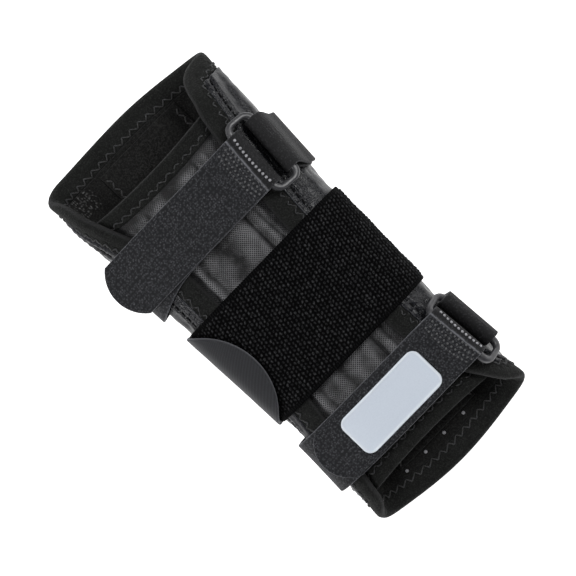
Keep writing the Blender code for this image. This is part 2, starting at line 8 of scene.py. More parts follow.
import bpy
import numpy as np
from mathutils import Matrix, Vector


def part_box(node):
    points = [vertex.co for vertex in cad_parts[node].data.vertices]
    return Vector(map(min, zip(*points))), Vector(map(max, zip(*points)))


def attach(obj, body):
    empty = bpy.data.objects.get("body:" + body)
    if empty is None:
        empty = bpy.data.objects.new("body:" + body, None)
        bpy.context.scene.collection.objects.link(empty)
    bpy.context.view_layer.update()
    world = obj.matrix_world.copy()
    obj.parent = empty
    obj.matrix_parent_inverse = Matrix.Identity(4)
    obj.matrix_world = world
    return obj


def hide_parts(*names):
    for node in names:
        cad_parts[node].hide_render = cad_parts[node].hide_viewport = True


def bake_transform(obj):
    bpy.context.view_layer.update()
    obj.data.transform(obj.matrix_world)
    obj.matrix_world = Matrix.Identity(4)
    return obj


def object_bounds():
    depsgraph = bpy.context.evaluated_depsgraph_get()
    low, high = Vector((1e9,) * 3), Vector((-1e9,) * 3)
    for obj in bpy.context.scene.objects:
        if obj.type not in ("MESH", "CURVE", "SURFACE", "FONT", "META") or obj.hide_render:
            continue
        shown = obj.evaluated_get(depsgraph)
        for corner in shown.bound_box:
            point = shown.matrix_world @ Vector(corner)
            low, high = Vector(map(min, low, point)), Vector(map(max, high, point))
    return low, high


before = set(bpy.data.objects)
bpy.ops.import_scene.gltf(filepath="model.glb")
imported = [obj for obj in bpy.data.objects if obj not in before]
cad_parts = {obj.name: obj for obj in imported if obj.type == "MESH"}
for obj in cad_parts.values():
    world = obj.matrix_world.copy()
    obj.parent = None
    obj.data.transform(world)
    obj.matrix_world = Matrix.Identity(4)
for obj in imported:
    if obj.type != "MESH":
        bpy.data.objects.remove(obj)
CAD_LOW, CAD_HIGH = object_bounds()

MM = 0.001

# ---- sizes, as the CAD part has them -----------------------------------------------------
FOREARM_END, HAND_END = 97.0, -99.0
WAIST_Y, WAIST_HALF_WIDTH, FOREARM_FLARE, HAND_FLARE = -45.0, 38.7, 5.3, 2.8
FOREARM_HEIGHT, WAIST_HEIGHT, HAND_HEIGHT = 33.0, 30.5, 31.5
END_HEIGHT, END_DIP_LENGTH, END_CORNER_RADIUS = 19.0, 22.0, 7.0
# How far each end curves in towards the front, and drops at its corners: left, right
FOREARM_ARCH, HAND_ARCH = (2.0, 7.0), (8.2, 6.6)
FOREARM_CORNERS, HAND_CORNERS = (5.0, 0.5), (3.0, 3.0)
FLAT_BACK, SHOULDER_HEIGHT, CROWN_POWER = 0.58, 0.44, 2.5
GAP, LEATHER, LINING_GAP, LINING, FACING = 0.3, 1.3, 0.4, 2.3, 4.0
WEBBING, TAB, HOOK_TAPE, LABEL = 1.6, 1.5, 0.8, 0.8
BACK_HEIGHT = GAP + WEBBING
FIRST_LAYER = GAP + WEBBING / 2
HOOK_LAYER = GAP + WEBBING + GAP + HOOK_TAPE / 2
TAB_LAYER = HOOK_LAYER + HOOK_TAPE / 2 + GAP + TAB / 2
FACING_WIDTH, FLAP_EDGE_MARGIN, BACK_SEAM_STATION = 9.5, 2.2, 0.9
RIGHT_FLAP_EDGE = [(-99.0, 38.0), (-90.0, 35.0), (-75.0, 25.2), (-58.0, 18.5), (-40.5, 17.0),
                   (27.0, 17.0), (57.6, 21.6), (78.4, 25.5), (84.0, 27.0), (90.0, 30.5),
                   (97.0, 36.5)]
LEFT_FLAP_EDGE = [(-99.0, 38.0), (-89.0, 35.0), (-75.0, 33.5), (-38.0, 26.6), (15.0, 24.3),
                  (30.0, 24.3), (59.4, 30.6), (72.0, 36.0), (82.0, 38.5), (90.0, 39.5),
                  (97.0, 40.5)]
MESH_TOP, MESH_BOTTOM, MESH_SMILE, MESH_BINDING_WIDTH = 70.5, -79.5, 2.5, 8.0
MESH_TUCK, MESH_DROP, MESH, MESH_BINDING = 7.0, 1.0, 0.6, 2.0
STAY_WIDTH, STAY_LENGTH, STAY_THICKNESS, STAY_CENTRE_Y = 30.0, 160.0, 1.8, 2.0
STAY_Z = BACK_HEIGHT + FACING + 2 * GAP + STAY_THICKNESS / 2
POCKET_CLOTH, POCKET_BOTTOM, POCKET_TOP = 0.8, -84.0, 85.0
BAND_WIDTH, BAND_Y, BAND_START, BAND_END, BAND_TUCK = 50.8, -10.8, 3.94, -1.93, 3.70
MID_TAB_ROOT, MID_TAB_TIP_X, MID_TAB_TIP_RADIUS = -2.02, -28.0, 33.5
MID_TAB_BULGE, MID_TAB_RISE, MID_HOOK_INSET = 1.4, 0.5, 4.0
STRAP_WIDTH, RING_WIRE, RING_SPACING, RING_CORNER = 25.4, 3.2, 11.4, 3.5
FOLD_RADIUS, LOOP_RADIUS, RING_LIFT, STRAP_RUN_START = 4.1, 3.7, 4.45, 15.0
FOLD_START, FOLD_END, STRAP_BACK_END, LOOP_APPROACH = -100.0, 70.0, 0.55, 6.5
ANCHOR_TAIL, HOOK_INSET = 8.0, 1.6
UPPER = dict(y=44.4, ring_x=31.1, lean=0.0, tilt=5.0, tip_x=-51.3, tip_radius=16.0,
             droop_x=-28.0, side_bulge=2.4, skew=-6.0, anchor_bulge=0.3, anchor_skew=4.0,
             sewn=3.2)
LOWER = dict(y=-59.6, ring_x=36.2, lean=10.0, tilt=-5.5, tip_x=-41.4, tip_radius=13.6,
             droop_x=-24.5, side_bulge=2.5, skew=0.0, anchor_bulge=-0.2, anchor_skew=0.0,
             sewn=1.4)
SIDE_BULGE, SIDE_SKEW, ANCHOR_BULGE = (-1.9, 0.34), (-2.0, 0.7), (2.0, 0.5)
LABEL_SIZE, LABEL_X, LABEL_Y, LABEL_CORNER = (40.4, 18.3), -4.0, -60.3, 3.6

# ---- sizes that only the looks need ------------------------------------------------------
ZIGZAG_STEP = 2.3            # along the seam, from one needle hole to the next
TOPSTITCH = 3.1
LOOP_COLUMN, LOOP_ROW = 1.62, 1.72
STRAP_DOT = 1.9
RING_LOOK_LENGTH, END_WIRE = 34.4, 2.6   # the ring's end bars are slimmer than its long ones
BLACK_THREAD = 0.24          # thread radius
PADDING_PRESSURE, PADDING_MASS, PADDING_SLACK = 4.0, 0.1, 0.002   # in the cloth simulation
PADDING_FRAMES, SEWN_WEIGHT = 20, 0.02

stay_low, stay_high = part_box("palm_stay")
ORIGIN = np.array([(stay_low.x + stay_high.x) / 2,
                   (stay_low.y + stay_high.y) / 2 - STAY_CENTRE_Y * MM,
                   (stay_low.z + stay_high.z) / 2 - STAY_Z * MM])


# ---- sleeve surface ----------------------------------------------------------------------

def smooth(t):
    t = np.clip(t, 0, 1)
    return t * t * (3 - 2 * t)


def mix(a, b, t):
    return a + (b - a) * t


def hump(value, middle, spread):
    return np.exp(-((value - middle) / spread) ** 2)


def through(points, y):
    """A smooth value at y, read from a short list of (y, value) points."""
    ys, values = np.array(points, float).T
    slopes = np.gradient(values, ys)
    y = np.clip(y, ys[0], ys[-1])
    i = np.clip(np.searchsorted(ys, y, side="right") - 1, 0, len(ys) - 2)
    span = ys[i + 1] - ys[i]
    t = (y - ys[i]) / span
    near = (1 + 2 * t) * (1 - t) ** 2 * values[i] + t * t * (3 - 2 * t) * values[i + 1]
    return near + span * (t * (1 - t) ** 2 * slopes[i] - t * t * (1 - t) * slopes[i + 1])


def half_width(y):
    up = FOREARM_FLARE * (np.maximum(y - WAIST_Y, 0) / 140) ** 1.4
    down = HAND_FLARE * (np.maximum(WAIST_Y - y, 0) / 53) ** 1.5
    past = END_CORNER_RADIUS - np.minimum(FOREARM_END - y, y - HAND_END)
    past = np.clip(past, 0, 0.9 * END_CORNER_RADIUS)
    return (WAIST_HALF_WIDTH + up + down - END_CORNER_RADIUS
            + np.sqrt(END_CORNER_RADIUS ** 2 - past ** 2))


def height(y):
    up = (FOREARM_HEIGHT - WAIST_HEIGHT) * smooth((y - WAIST_Y) / 110)
    down = (HAND_HEIGHT - WAIST_HEIGHT) * smooth((WAIST_Y - y) / 30)
    to_end = np.minimum(FOREARM_END - y, y - HAND_END)
    return mix(END_HEIGHT, WAIST_HEIGHT + up + down, smooth(to_end / END_DIP_LENGTH))


ROW = 0.5
TURNS = 160
SHARES = 900
ROWS = np.arange(HAND_END, FOREARM_END + ROW / 2, ROW)


def outline_tables():
    """The sleeve's outline at each row: positions and outward directions by share of the way
    from the middle of the back to the middle of the front."""
    a = half_width(ROWS)[:, None]
    top = height(ROWS)[:, None]
    shoulder = BACK_HEIGHT + SHOULDER_HEIGHT * (top - BACK_HEIGHT)
    flat = FLAT_BACK * a
    turns = np.linspace(0, math.pi / 2, TURNS + 1)[None]
    corner_x = flat + (a - flat) * np.sin(turns)
    corner_z = shoulder - (shoulder - BACK_HEIGHT) * np.cos(turns)
    front_x = a * np.clip(np.cos(turns), 0, 1) ** (2 / CROWN_POWER)
    front_z = shoulder + (top - shoulder) * np.sin(turns) ** (2 / CROWN_POWER)
    zero = np.zeros_like(a)
    x = np.concatenate([zero, corner_x, front_x[:, 1:]], 1)
    z = np.concatenate([zero + BACK_HEIGHT, corner_z, front_z[:, 1:]], 1)
    length = np.cumsum(np.hypot(np.diff(x, prepend=0.0), np.diff(z, prepend=BACK_HEIGHT)), 1)
    marks = length[:, [0, 1, TURNS + 1, -1]]
    share = np.linspace(0, 1, SHARES + 1)
    xs = np.array([np.interp(share * n[-1], n, r) for n, r in zip(length, x)])
    zs = np.array([np.interp(share * n[-1], n, r) for n, r in zip(length, z)])
    wide_x = np.concatenate([-xs[:, 1:2], xs, -xs[:, -2:-1]], 1)
    wide_z = np.concatenate([zs[:, 1:2], zs, zs[:, -2:-1]], 1)
    dx, dz = wide_x[:, 2:] - wide_x[:, :-2], wide_z[:, 2:] - wide_z[:, :-2]
    run = np.hypot(dx, dz)
    return xs, zs, dz / run, -dx / run, marks, length[:, TURNS + 1:]


XS, ZS, OUT_X, OUT_Z, MARKS, FRONT = outline_tables()


def read(table, y, column):
    """A table's value at a height y and a column, both between its entries."""
    row = np.clip((y - HAND_END) / ROW, 0, len(ROWS) - 1.0001)
    column = np.clip(column, 0, table.shape[1] - 1.0001)
    r, c = row.astype(int), column.astype(int)
    fr, fc = row - r, column - c
    return ((table[r, c] * (1 - fc) + table[r, c + 1] * fc) * (1 - fr)
            + (table[r + 1, c] * (1 - fc) + table[r + 1, c + 1] * fc) * fr)


def mark(y, k):
    y = np.asarray(y, float)
    return read(MARKS, y, np.full(y.shape, float(k)))


def skin(y, s, lift=0.0):
    """Points at y, a distance s round from the middle of the back, lifted off the leather."""
    y, s, lift = np.broadcast_arrays(*(np.asarray(v, float) for v in (y, s, lift)))
    share = s / mark(y, 3)
    share = share - 2 * np.floor((share + 1) / 2)
    side = np.where(share < 0, -1.0, 1.0)
    column = np.abs(share) * SHARES
    out_x, out_z = side * read(OUT_X, y, column), read(OUT_Z, y, column)
    run = np.hypot(out_x, out_z)
    return np.stack([side * read(XS, y, column) + lift * out_x / run, y,
                     read(ZS, y, column) + lift * out_z / run], -1)


def front_distance(y, x):
    """The distance round to the point of the front that lies at x."""
    y, x = np.broadcast_arrays(np.asarray(y, float), np.asarray(x, float))
    turn = np.arccos(np.clip(np.abs(x) / half_width(y), 0, 1) ** (CROWN_POWER / 2))
    return np.where(x < 0, -1.0, 1.0) * read(FRONT, y, turn / (math.pi / 2) * TURNS)


def station_distance(y, station):
    y, station = np.broadcast_arrays(np.asarray(y, float), np.asarray(station, float))
    laps = np.floor((station + 3) / 6)
    inner = station - 6 * laps
    size = np.abs(inner)
    along = np.where(size < 1, size * mark(y, 1), np.where(
        size < 2, mix(mark(y, 1), mark(y, 2), size - 1), mix(mark(y, 2), mark(y, 3), size - 2)))
    return np.where(inner < 0, -along, along) + 2 * laps * mark(y, 3)


def end_edge(end, s):
    arch, corner = (np.where(s < 0, *pair) for pair in (
        (FOREARM_ARCH, FOREARM_CORNERS) if end > 0 else (HAND_ARCH, HAND_CORNERS)))
    curve = arch * smooth(np.abs(s) / 70) + corner * smooth((np.abs(s) - 41) / 12)
    return end - math.copysign(1, end) * curve


def flap_edge(side, y):
    """Distance round to a flap's free edge."""
    edge = RIGHT_FLAP_EDGE if side > 0 else LEFT_FLAP_EDGE
    x = np.minimum(through(edge, y), half_width(y) - FLAP_EDGE_MARGIN)
    return front_distance(y, side * x)


def panel_place(left, right, low, high, u, v):
    """(y, s) of a panel between two side lines and two end lines."""
    y = mix(HAND_END, FOREARM_END, v)
    for _ in range(4):
        s = mix(left(y), right(y), u)
        y = mix(low(s), high(s), v)
    return y, s


def ripple(a, b, size, seed):
    """Soft random waves of about the given size, from -1 to 1, the same on each run."""
    rng = np.random.default_rng(seed)
    total = 0.0
    for _ in range(7):
        turn, phase = rng.uniform(0, math.tau, 2)
        pitch = size * rng.uniform(0.7, 1.6)
        total = total + np.sin(math.tau * (a * math.cos(turn) + b * math.sin(turn)) / pitch + phase)
    return total / 4.0


def scatter(i, j, seed=0):
    """A random number from 0 to 1 for each pair of whole numbers."""
    value = np.sin(i * 127.1 + j * 311.7 + seed * 74.7) * 43758.5453
    return value - np.floor(value)


# ---- mesh building -----------------------------------------------------------------------

def add_mesh(name, points, faces, finish, weave=None):
    data = bpy.data.meshes.new(name)
    data.from_pydata((points * MM + ORIGIN).tolist(), [], faces.tolist())
    data.polygons.foreach_set("use_smooth", np.ones(len(faces), bool))
    if weave is not None:
        layer = data.attributes.new("weave", "FLOAT_VECTOR", "POINT")
        layer.data.foreach_set("vector", weave.astype(np.float32).ravel())
    data.materials.append(finish)
    data.update()
    made = bpy.data.objects.new(name, data)
    bpy.context.scene.collection.objects.link(made)
    return made


def spread(length, step, rim=1.0):
    """Shares from 0 to 1, closer together at both ends, where an edge rounds over."""
    inner = np.linspace(rim, length - rim, max(3, round((length - 2 * rim) / step) + 1))
    edge = rim * np.array([0, 0.07, 0.27, 0.6])
    return np.concatenate([edge, inner, (length - edge)[::-1]]) / length


def run_lengths(grid, axis):
    step = np.linalg.norm(np.diff(grid, axis=axis), axis=-1)
    pad = [(0, 0), (0, 0)]
    pad[axis] = (1, 0)
    return np.pad(np.cumsum(step, axis), pad)


def rim_share(along, axis, rims):
    """How full the thickness is, by distance from the two edges across this axis."""
    total = np.take(along, [-1], axis)
    full = np.ones_like(along)
    for distance, rim in ((along, rims[0]), (total - along, rims[1])):
        if rim:
            full = full * np.sqrt(np.clip(1 - (1 - np.clip(distance / rim, 0, 1)) ** 2, 0, 1))
    return full


def outward(grid, ring, probe):
    """Unit directions off a grid of points, pointing away from the sleeve's middle line."""
    if ring:
        wide = np.concatenate([grid[-1:], grid, grid[:1]], 0)
        du = wide[2:] - wide[:-2]
    else:
        du = np.gradient(grid, axis=0)
    n = np.cross(du, np.gradient(grid, axis=1))
    n /= np.maximum(np.linalg.norm(n, axis=-1, keepdims=True), 1e-9)
    i, j = int(probe[0] * (grid.shape[0] - 1)), int(probe[1] * (grid.shape[1] - 1))
    middle = np.array([0, grid[i, j, 1], 15.0])
    turned = float(n[i, j] @ (grid[i, j] - middle)) < 0
    return (-n if turned else n), turned


def sheet(name, grid, thickness, finish, rims=(0.7, 0.7, 0.7, 0.7), over=0.0, under=0.0,
          ring=False, mask=None, edge=0.0, inside=False, probe=(0.5, 0.5)):
    """A closed sheet round a grid of mid-surface points. rims are the roundings at its four
    edges (first and last row, first and last column); over and under are added heights. The
    mask belongs to the outer side, or with inside to the inner one."""
    n, turned = outward(grid, ring, probe)
    rows, cols = grid.shape[:2]
    along = run_lengths(grid, 0), run_lengths(grid, 1)
    full = rim_share(along[1], 1, rims[2:])
    if not ring:
        full = full * rim_share(along[0], 0, rims[:2])
    half = (thickness / 2 * full)[..., None]
    top = grid + n * (half + (over * full)[..., None])
    low = grid - n * (half + (under * full)[..., None])
    index = np.arange(rows * cols).reshape(rows, cols)
    below = index + rows * cols
    if not ring:
        below[0], below[-1] = index[0], index[-1]
    below[:, 0], below[:, -1] = index[:, 0], index[:, -1]
    if ring:
        index, below = np.vstack([index, index[:1]]), np.vstack([below, below[:1]])
    faces = []
    for k, flip in ((index, turned), (below, not turned)):
        quads = np.stack([k[:-1, :-1], k[1:, :-1], k[1:, 1:], k[:-1, 1:]], -1).reshape(-1, 4)
        faces.append(quads[:, ::-1] if flip else quads)
    faces = np.vstack(faces)
    # Without a mask the rounded rims, and any given edge, are painted lighter: partly worn, partly
    # a painted edge highlight.
    rim_wear_and_highlight = np.maximum(1 - full, edge) if mask is None else mask
    weave = np.stack([along[0], along[1], rim_wear_and_highlight + 0 * full], -1).reshape(-1, 3)
    used, remap = np.unique(faces, return_inverse=True)
    points = np.vstack([top.reshape(-1, 3), low.reshape(-1, 3)])[used]
    outer = [1, 1, 0 if inside else 1]
    inner = [1, 1, 0 if mask is not None and not inside else 1]
    weave = np.vstack([weave * outer, weave * inner])[used]
    return add_mesh(name, points, remap.reshape(-1, 4), finish, weave)


def settle(grid, thickness, seams, cap, ring=False, probe=(0.5, 0.5), step=4.5):
    """Cloth simulation of a padded piece: a coarse closed skin of it is blown up softly between
    its sewn lines, where seams is 1. Returns how far its two sides swell, in millimetres, as
    heights for the fine grid. A soft limit keeps them under cap, and on the leather and the
    lining it is the limit that sets the height."""
    size = grid.shape[:2]
    along = [float(run_lengths(grid, k).max()) for k in (0, 1)]
    count = [max(6, round(length / reach)) for length, reach in zip(along, (step, 0.5 * step))]
    rows = np.linspace(0, size[0] - (0 if ring else 1), count[0], endpoint=not ring).astype(int)
    cols = np.linspace(0, size[1] - 1, count[1]).astype(int)
    coarse = grid[np.ix_(rows, cols)]
    held = np.broadcast_to(seams, size)[np.ix_(rows, cols)]
    n, _ = outward(coarse, ring, probe)
    skin_piece = sheet("padding_test", coarse, thickness, NEOPRENE, (1.5,) * 4, ring=ring,
                       probe=probe)
    inner = (slice(None) if ring else slice(1, -1), slice(1, -1))
    weights = np.concatenate([held.ravel(), held[inner].ravel()])
    group = skin_piece.vertex_groups.new(name="seams")
    for k in np.nonzero(weights > SEWN_WEIGHT)[0]:
        group.add([int(k)], float(weights[k]), "REPLACE")
    rest = np.empty(len(weights) * 3)
    skin_piece.data.vertices.foreach_get("co", rest)
    cloth = skin_piece.modifiers.new("padding", "CLOTH")
    cloth.settings.use_pressure = True
    cloth.settings.uniform_pressure_force = PADDING_PRESSURE
    cloth.settings.effector_weights.gravity = 0
    cloth.settings.mass = PADDING_MASS
    cloth.settings.shrink_min = -PADDING_SLACK
    cloth.settings.vertex_group_mass = "seams"
    cloth.collision_settings.use_collision = False
    cloth.point_cache.frame_start, cloth.point_cache.frame_end = 1, PADDING_FRAMES
    for frame_number in range(1, PADDING_FRAMES + 1):
        bpy.context.scene.frame_set(frame_number)
    swollen = skin_piece.evaluated_get(bpy.context.evaluated_depsgraph_get()).data
    moved = np.empty(len(weights) * 3)
    swollen.vertices.foreach_get("co", moved)
    moved = ((moved - rest) / MM).reshape(-1, 3)
    bpy.data.objects.remove(skin_piece)
    bpy.context.scene.frame_set(1)
    top = (moved[:held.size].reshape(coarse.shape) * n).sum(-1)
    low = np.zeros_like(top)
    low[inner] = -(moved[held.size:].reshape(*n[inner].shape) * n[inner]).sum(-1)
    result = []
    for swell in (top, low):
        swell = cap * np.tanh(np.nan_to_num(swell) / cap)
        if ring:
            swell, at = np.vstack([swell, swell[:1]]), np.append(rows, size[0])
        else:
            at = rows
        tall = np.array([np.interp(np.arange(size[0]), at, column) for column in swell.T]).T
        result.append(np.array([np.interp(np.arange(size[1]), cols, row) for row in tall]))
    return result


def threads(name, paths, radius, finish, sides=6, ends=0.35):
    """Round threads along paths that all have the same number of points."""
    count, steps = paths.shape[:2]
    way = np.gradient(paths, axis=1)
    way /= np.maximum(np.linalg.norm(way, axis=-1, keepdims=True), 1e-9)
    guide = np.where(np.abs(way[..., 2:]) > 0.8, [1.0, 0, 0], [0, 0, 1.0])
    a = np.cross(way, guide)
    a /= np.linalg.norm(a, axis=-1, keepdims=True)
    b = np.cross(way, a)
    turn = np.arange(sides) * math.tau / sides
    taper = np.ones(steps)
    taper[[0, -1]] = ends
    ring = (a[:, :, None] * np.cos(turn)[:, None] + b[:, :, None] * np.sin(turn)[:, None])
    points = paths[:, :, None] + ring * (radius * taper)[None, :, None, None]
    index = np.arange(count * steps * sides).reshape(count, steps, sides)
    side = np.roll(index, -1, 2)
    faces = np.stack([index[:, :-1], side[:, :-1], side[:, 1:], index[:, 1:]], -1).reshape(-1, 4)
    return add_mesh(name, points.reshape(-1, 3), faces, finish)


SAG = np.array([-0.30, 0.05, 0.17, 0.20, 0.17, 0.05, -0.30])


def legs(surface, start, stop, lift):
    """Paths of stitches from start to stop, given in the surface's own two coordinates, each
    lying on the surface and dipping into it at both ends."""
    t = np.linspace(0, 1, len(SAG))[None, :, None]
    place = start[:, None] * (1 - t) + stop[:, None] * t
    return surface(place[..., 0], place[..., 1], lift + SAG[None] * math.copysign(1, lift or 1))


def zigzag(surface, along, near, far, lift):
    """Zigzag legs: needle holes step along and swing between near and far."""
    holes = np.stack([along, np.where(np.arange(len(along)) % 2, near, far)], -1)
    return legs(surface, holes[:-1], holes[1:], lift)


def tip_stitches(surface, along, tip, foot, lift, first=0):
    """The short V at every second needle hole, where the thread stands proud; the callers give it a
    brighter thread as a painted highlight.
    """
    peak = along[first:-1:2]
    step = 0.6 * (along[1] - along[0])
    top = np.stack([peak, np.full(len(peak), tip)], -1)
    paths = [legs(surface, top, np.stack([peak + side * step, np.full(len(peak), foot)], -1), lift)
             for side in (-1, 1)]
    return np.concatenate(paths)


def running(surface, along, across, lift, gap=0.35):
    """A straight row of stitches with a small space between them."""
    across = np.broadcast_to(across, along.shape)
    step = along[1] - along[0]
    start = np.stack([along[:-1] + gap * np.sign(step), across[:-1]], -1)
    stop = np.stack([along[1:] - gap * np.sign(step), across[1:]], -1)
    return legs(surface, start, stop, lift)


def beads(name, centres, ups, radius, tall, finish):
    """Small domes at the given points, standing along ups."""
    rings, sides = 4, 8
    level = np.linspace(0, math.pi / 2, rings + 1)
    turn = np.arange(sides) * math.tau / sides
    guide = np.where(np.abs(ups[:, 1:2]) > 0.8, [1.0, 0, 0], [0, 1.0, 0])
    a = np.cross(ups, guide)
    a /= np.linalg.norm(a, axis=1, keepdims=True)
    b = np.cross(ups, a)
    wide = radius * np.maximum(np.cos(level), 0.05)
    ring = a[:, None] * np.cos(turn)[:, None] + b[:, None] * np.sin(turn)[:, None]
    points = (centres[:, None, None] + ring[:, None] * wide[None, :, None, None]
              + (ups[:, None] * (tall * np.sin(level) - 0.1)[None, :, None])[:, :, None])
    index = np.arange(len(centres) * (rings + 1) * sides).reshape(-1, rings + 1, sides)
    side = np.roll(index, -1, 2)
    faces = np.stack([index[:, :-1], side[:, :-1], side[:, 1:], index[:, 1:]], -1).reshape(-1, 4)
    return add_mesh(name, points.reshape(-1, 3), faces, finish)


# ---- materials ---------------------------------------------------------------------------

class Finish:
    """A Principled material with small helpers for its procedural detail."""

    def __init__(self, name, colour, roughness, **sockets):
        self.material = bpy.data.materials.new(name)
        self.material.use_nodes = True
        self.tree = self.material.node_tree
        self.bsdf = self.tree.nodes["Principled BSDF"]
        self.colour = colour
        self.bsdf.inputs["Base Color"].default_value = (*colour, 1)
        self.bsdf.inputs["Roughness"].default_value = roughness
        for key, value in sockets.items():
            self.bsdf.inputs[key.replace("_", " ")].default_value = value
        self.normal = None

    def node(self, kind, inputs=None, **settings):
        made = self.tree.nodes.new(kind)
        for key, value in settings.items():
            setattr(made, key, value)
        for key, value in (inputs or {}).items():
            if isinstance(value, bpy.types.NodeSocket):
                self.tree.links.new(value, made.inputs[key])
            else:
                made.inputs[key].default_value = value
        return made

    def weave(self):
        return self.node("ShaderNodeAttribute", attribute_name="weave").outputs["Vector"]

    def object_mm(self):
        """Object coordinates, in millimetres."""
        place = self.node("ShaderNodeTexCoord").outputs["Object"]
        return self.node("ShaderNodeVectorMath", {0: place, 1: (1000, 1000, 1000)},
                         operation="MULTIPLY").outputs[0]

    def scaled(self, vector, x, y, z=0.0, turn=0.0):
        return self.node("ShaderNodeMapping", {"Vector": vector, "Scale": (x, y, z),
                                               "Rotation": (0, 0, turn)}).outputs[0]

    def noise(self, vector, scale, detail=3.0, rough=0.55):
        return self.node("ShaderNodeTexNoise", {"Vector": vector, "Scale": scale,
                                                "Detail": detail, "Roughness": rough}).outputs[0]

    def cells(self, vector, scale, feature="F1", output="Distance", jitter=1.0):
        return self.node("ShaderNodeTexVoronoi", {"Vector": vector, "Scale": scale,
                                                  "Randomness": jitter},
                         feature=feature).outputs[output]

    def wave(self, vector, scale, direction="X", distortion=0.0):
        return self.node("ShaderNodeTexWave", {"Vector": vector, "Scale": scale,
                                               "Distortion": distortion},
                         bands_direction=direction).outputs["Fac"]

    def math(self, operation, a, b=0.0):
        return self.node("ShaderNodeMath", {0: a, 1: b}, operation=operation).outputs[0]

    def level(self, value, low, high, to_low=0.0, to_high=1.0):
        return self.node("ShaderNodeMapRange", {"Value": value, "From Min": low, "From Max": high,
                                                "To Min": to_low, "To Max": to_high}).outputs[0]

    def blend(self, share, a, b):
        """A colour between a and b; each is a colour or a socket."""
        made = self.node("ShaderNodeMix", data_type="RGBA")
        self.tree.links.new(share, made.inputs["Factor"])
        for key, value in ((6, a), (7, b)):
            if isinstance(value, bpy.types.NodeSocket):
                self.tree.links.new(value, made.inputs[key])
            else:
                made.inputs[key].default_value = (*value, 1)
        return made.outputs[2]

    def paint(self, colour):
        self.tree.links.new(colour, self.bsdf.inputs["Base Color"])

    def rough(self, value):
        self.tree.links.new(value, self.bsdf.inputs["Roughness"])

    def bump(self, height, distance, strength=1.0):
        """Adds relief whose height is in millimetres."""
        made = self.node("ShaderNodeBump", {"Height": height, "Distance": distance * MM,
                                            "Strength": strength})
        if self.normal is not None:
            self.tree.links.new(self.normal, made.inputs["Normal"])
        self.normal = made.outputs[0]
        self.tree.links.new(self.normal, self.bsdf.inputs["Normal"])

    def mask(self, vector):
        """The third value of the weave: a lighter rim at an edge, partly worn and partly a painted
        edge highlight; painted light and shade on the mesh folds; the height of a pile.
        """
        return self.node("ShaderNodeSeparateXYZ", {0: vector}).outputs[2]


def neoprene_finish(name, colour, edge):
    f = Finish(name, colour, 0.88, Specular_IOR_Level=0.18, Sheen_Weight=0.03, Sheen_Roughness=0.5)
    place = f.object_mm()
    jersey = f.cells(place, 1.25, jitter=0.8)
    cloud = f.noise(place, 0.12, 4)
    speck = f.noise(place, 1.9, 2)
    tone = f.blend(f.level(cloud, 0.3, 0.7), tuple(c * 0.55 for c in colour),
                   tuple(c * 1.15 for c in colour))
    tone = f.blend(f.level(speck, 0.46, 0.72), tone, tuple(c * 3.2 for c in colour))
    # The edge colour lightens the masked rims: partly worn, partly a painted edge highlight.
    f.paint(f.blend(f.mask(f.weave()), tone, edge))
    f.bump(jersey, 0.35, 0.7)
    f.bump(speck, 0.3, 0.6)
    return f.material


def leather_finish():
    f = Finish("leather", (0.012, 0.013, 0.017), 0.32, Specular_IOR_Level=0.32)
    place = f.object_mm()
    pores = f.cells(place, 1.5, feature="DISTANCE_TO_EDGE")
    grain = f.noise(place, 0.9, 5, 0.6)
    crease = f.noise(f.scaled(f.weave(), 0.10, 0.22), 1.0, 4, 0.6)
    tone = f.blend(f.level(grain, 0.35, 0.7), (0.004, 0.0043, 0.006), (0.011, 0.0118, 0.0155))
    # Lighter colour at the masked rims: partly worn, partly a painted edge highlight.
    f.paint(f.blend(f.mask(f.weave()), tone, (0.060, 0.062, 0.072)))
    f.rough(f.level(grain, 0.3, 0.75, 0.22, 0.36))
    f.bump(f.level(pores, 0.0, 0.25), 0.06, 0.6)
    f.bump(grain, 0.10, 0.6)
    f.bump(crease, 1.1, 0.35)
    return f.material


def webbing_finish(name, colour, speck, dots):
    """Knitted hook-strap cloth: fine ribs along the strap with a grid of raised dots."""
    f = Finish(name, colour, 0.74, Specular_IOR_Level=0.25, Sheen_Weight=0.03, Sheen_Roughness=0.4)
    weave = f.weave()
    turn = math.pi / 4
    fine = f.cells(f.scaled(weave, 1 / 0.95, 1 / 0.95), 1.0, jitter=0.75)
    grid = f.cells(f.scaled(weave, 1 / STRAP_DOT, 1 / STRAP_DOT), 1.0, jitter=0.12)
    rib = f.wave(f.scaled(weave, 1.0, 1.0, turn=turn), 1 / 0.9, "DIAGONAL")
    grain = f.noise(weave, 1.6, 3)
    knit = f.level(fine, 0.1, 0.55, 1.0, 0.0)
    dot = f.level(grid, 0.12, 0.34, 1.0, 0.0)
    raised = f.math("MAXIMUM", f.math("MULTIPLY", knit, 0.75), f.math("MULTIPLY", dot, dots))
    tone = f.blend(f.math("MULTIPLY", raised, f.level(grain, 0.35, 0.7, 0.25, 1.0)), colour, speck)
    # Lighter colour at the masked rims: partly worn, partly a painted edge highlight.
    f.paint(f.blend(f.mask(weave), tone, tuple(c * 1.6 for c in speck)))
    f.bump(raised, 0.32, 0.8)
    f.bump(rib, 0.08, 0.5)
    return f.material


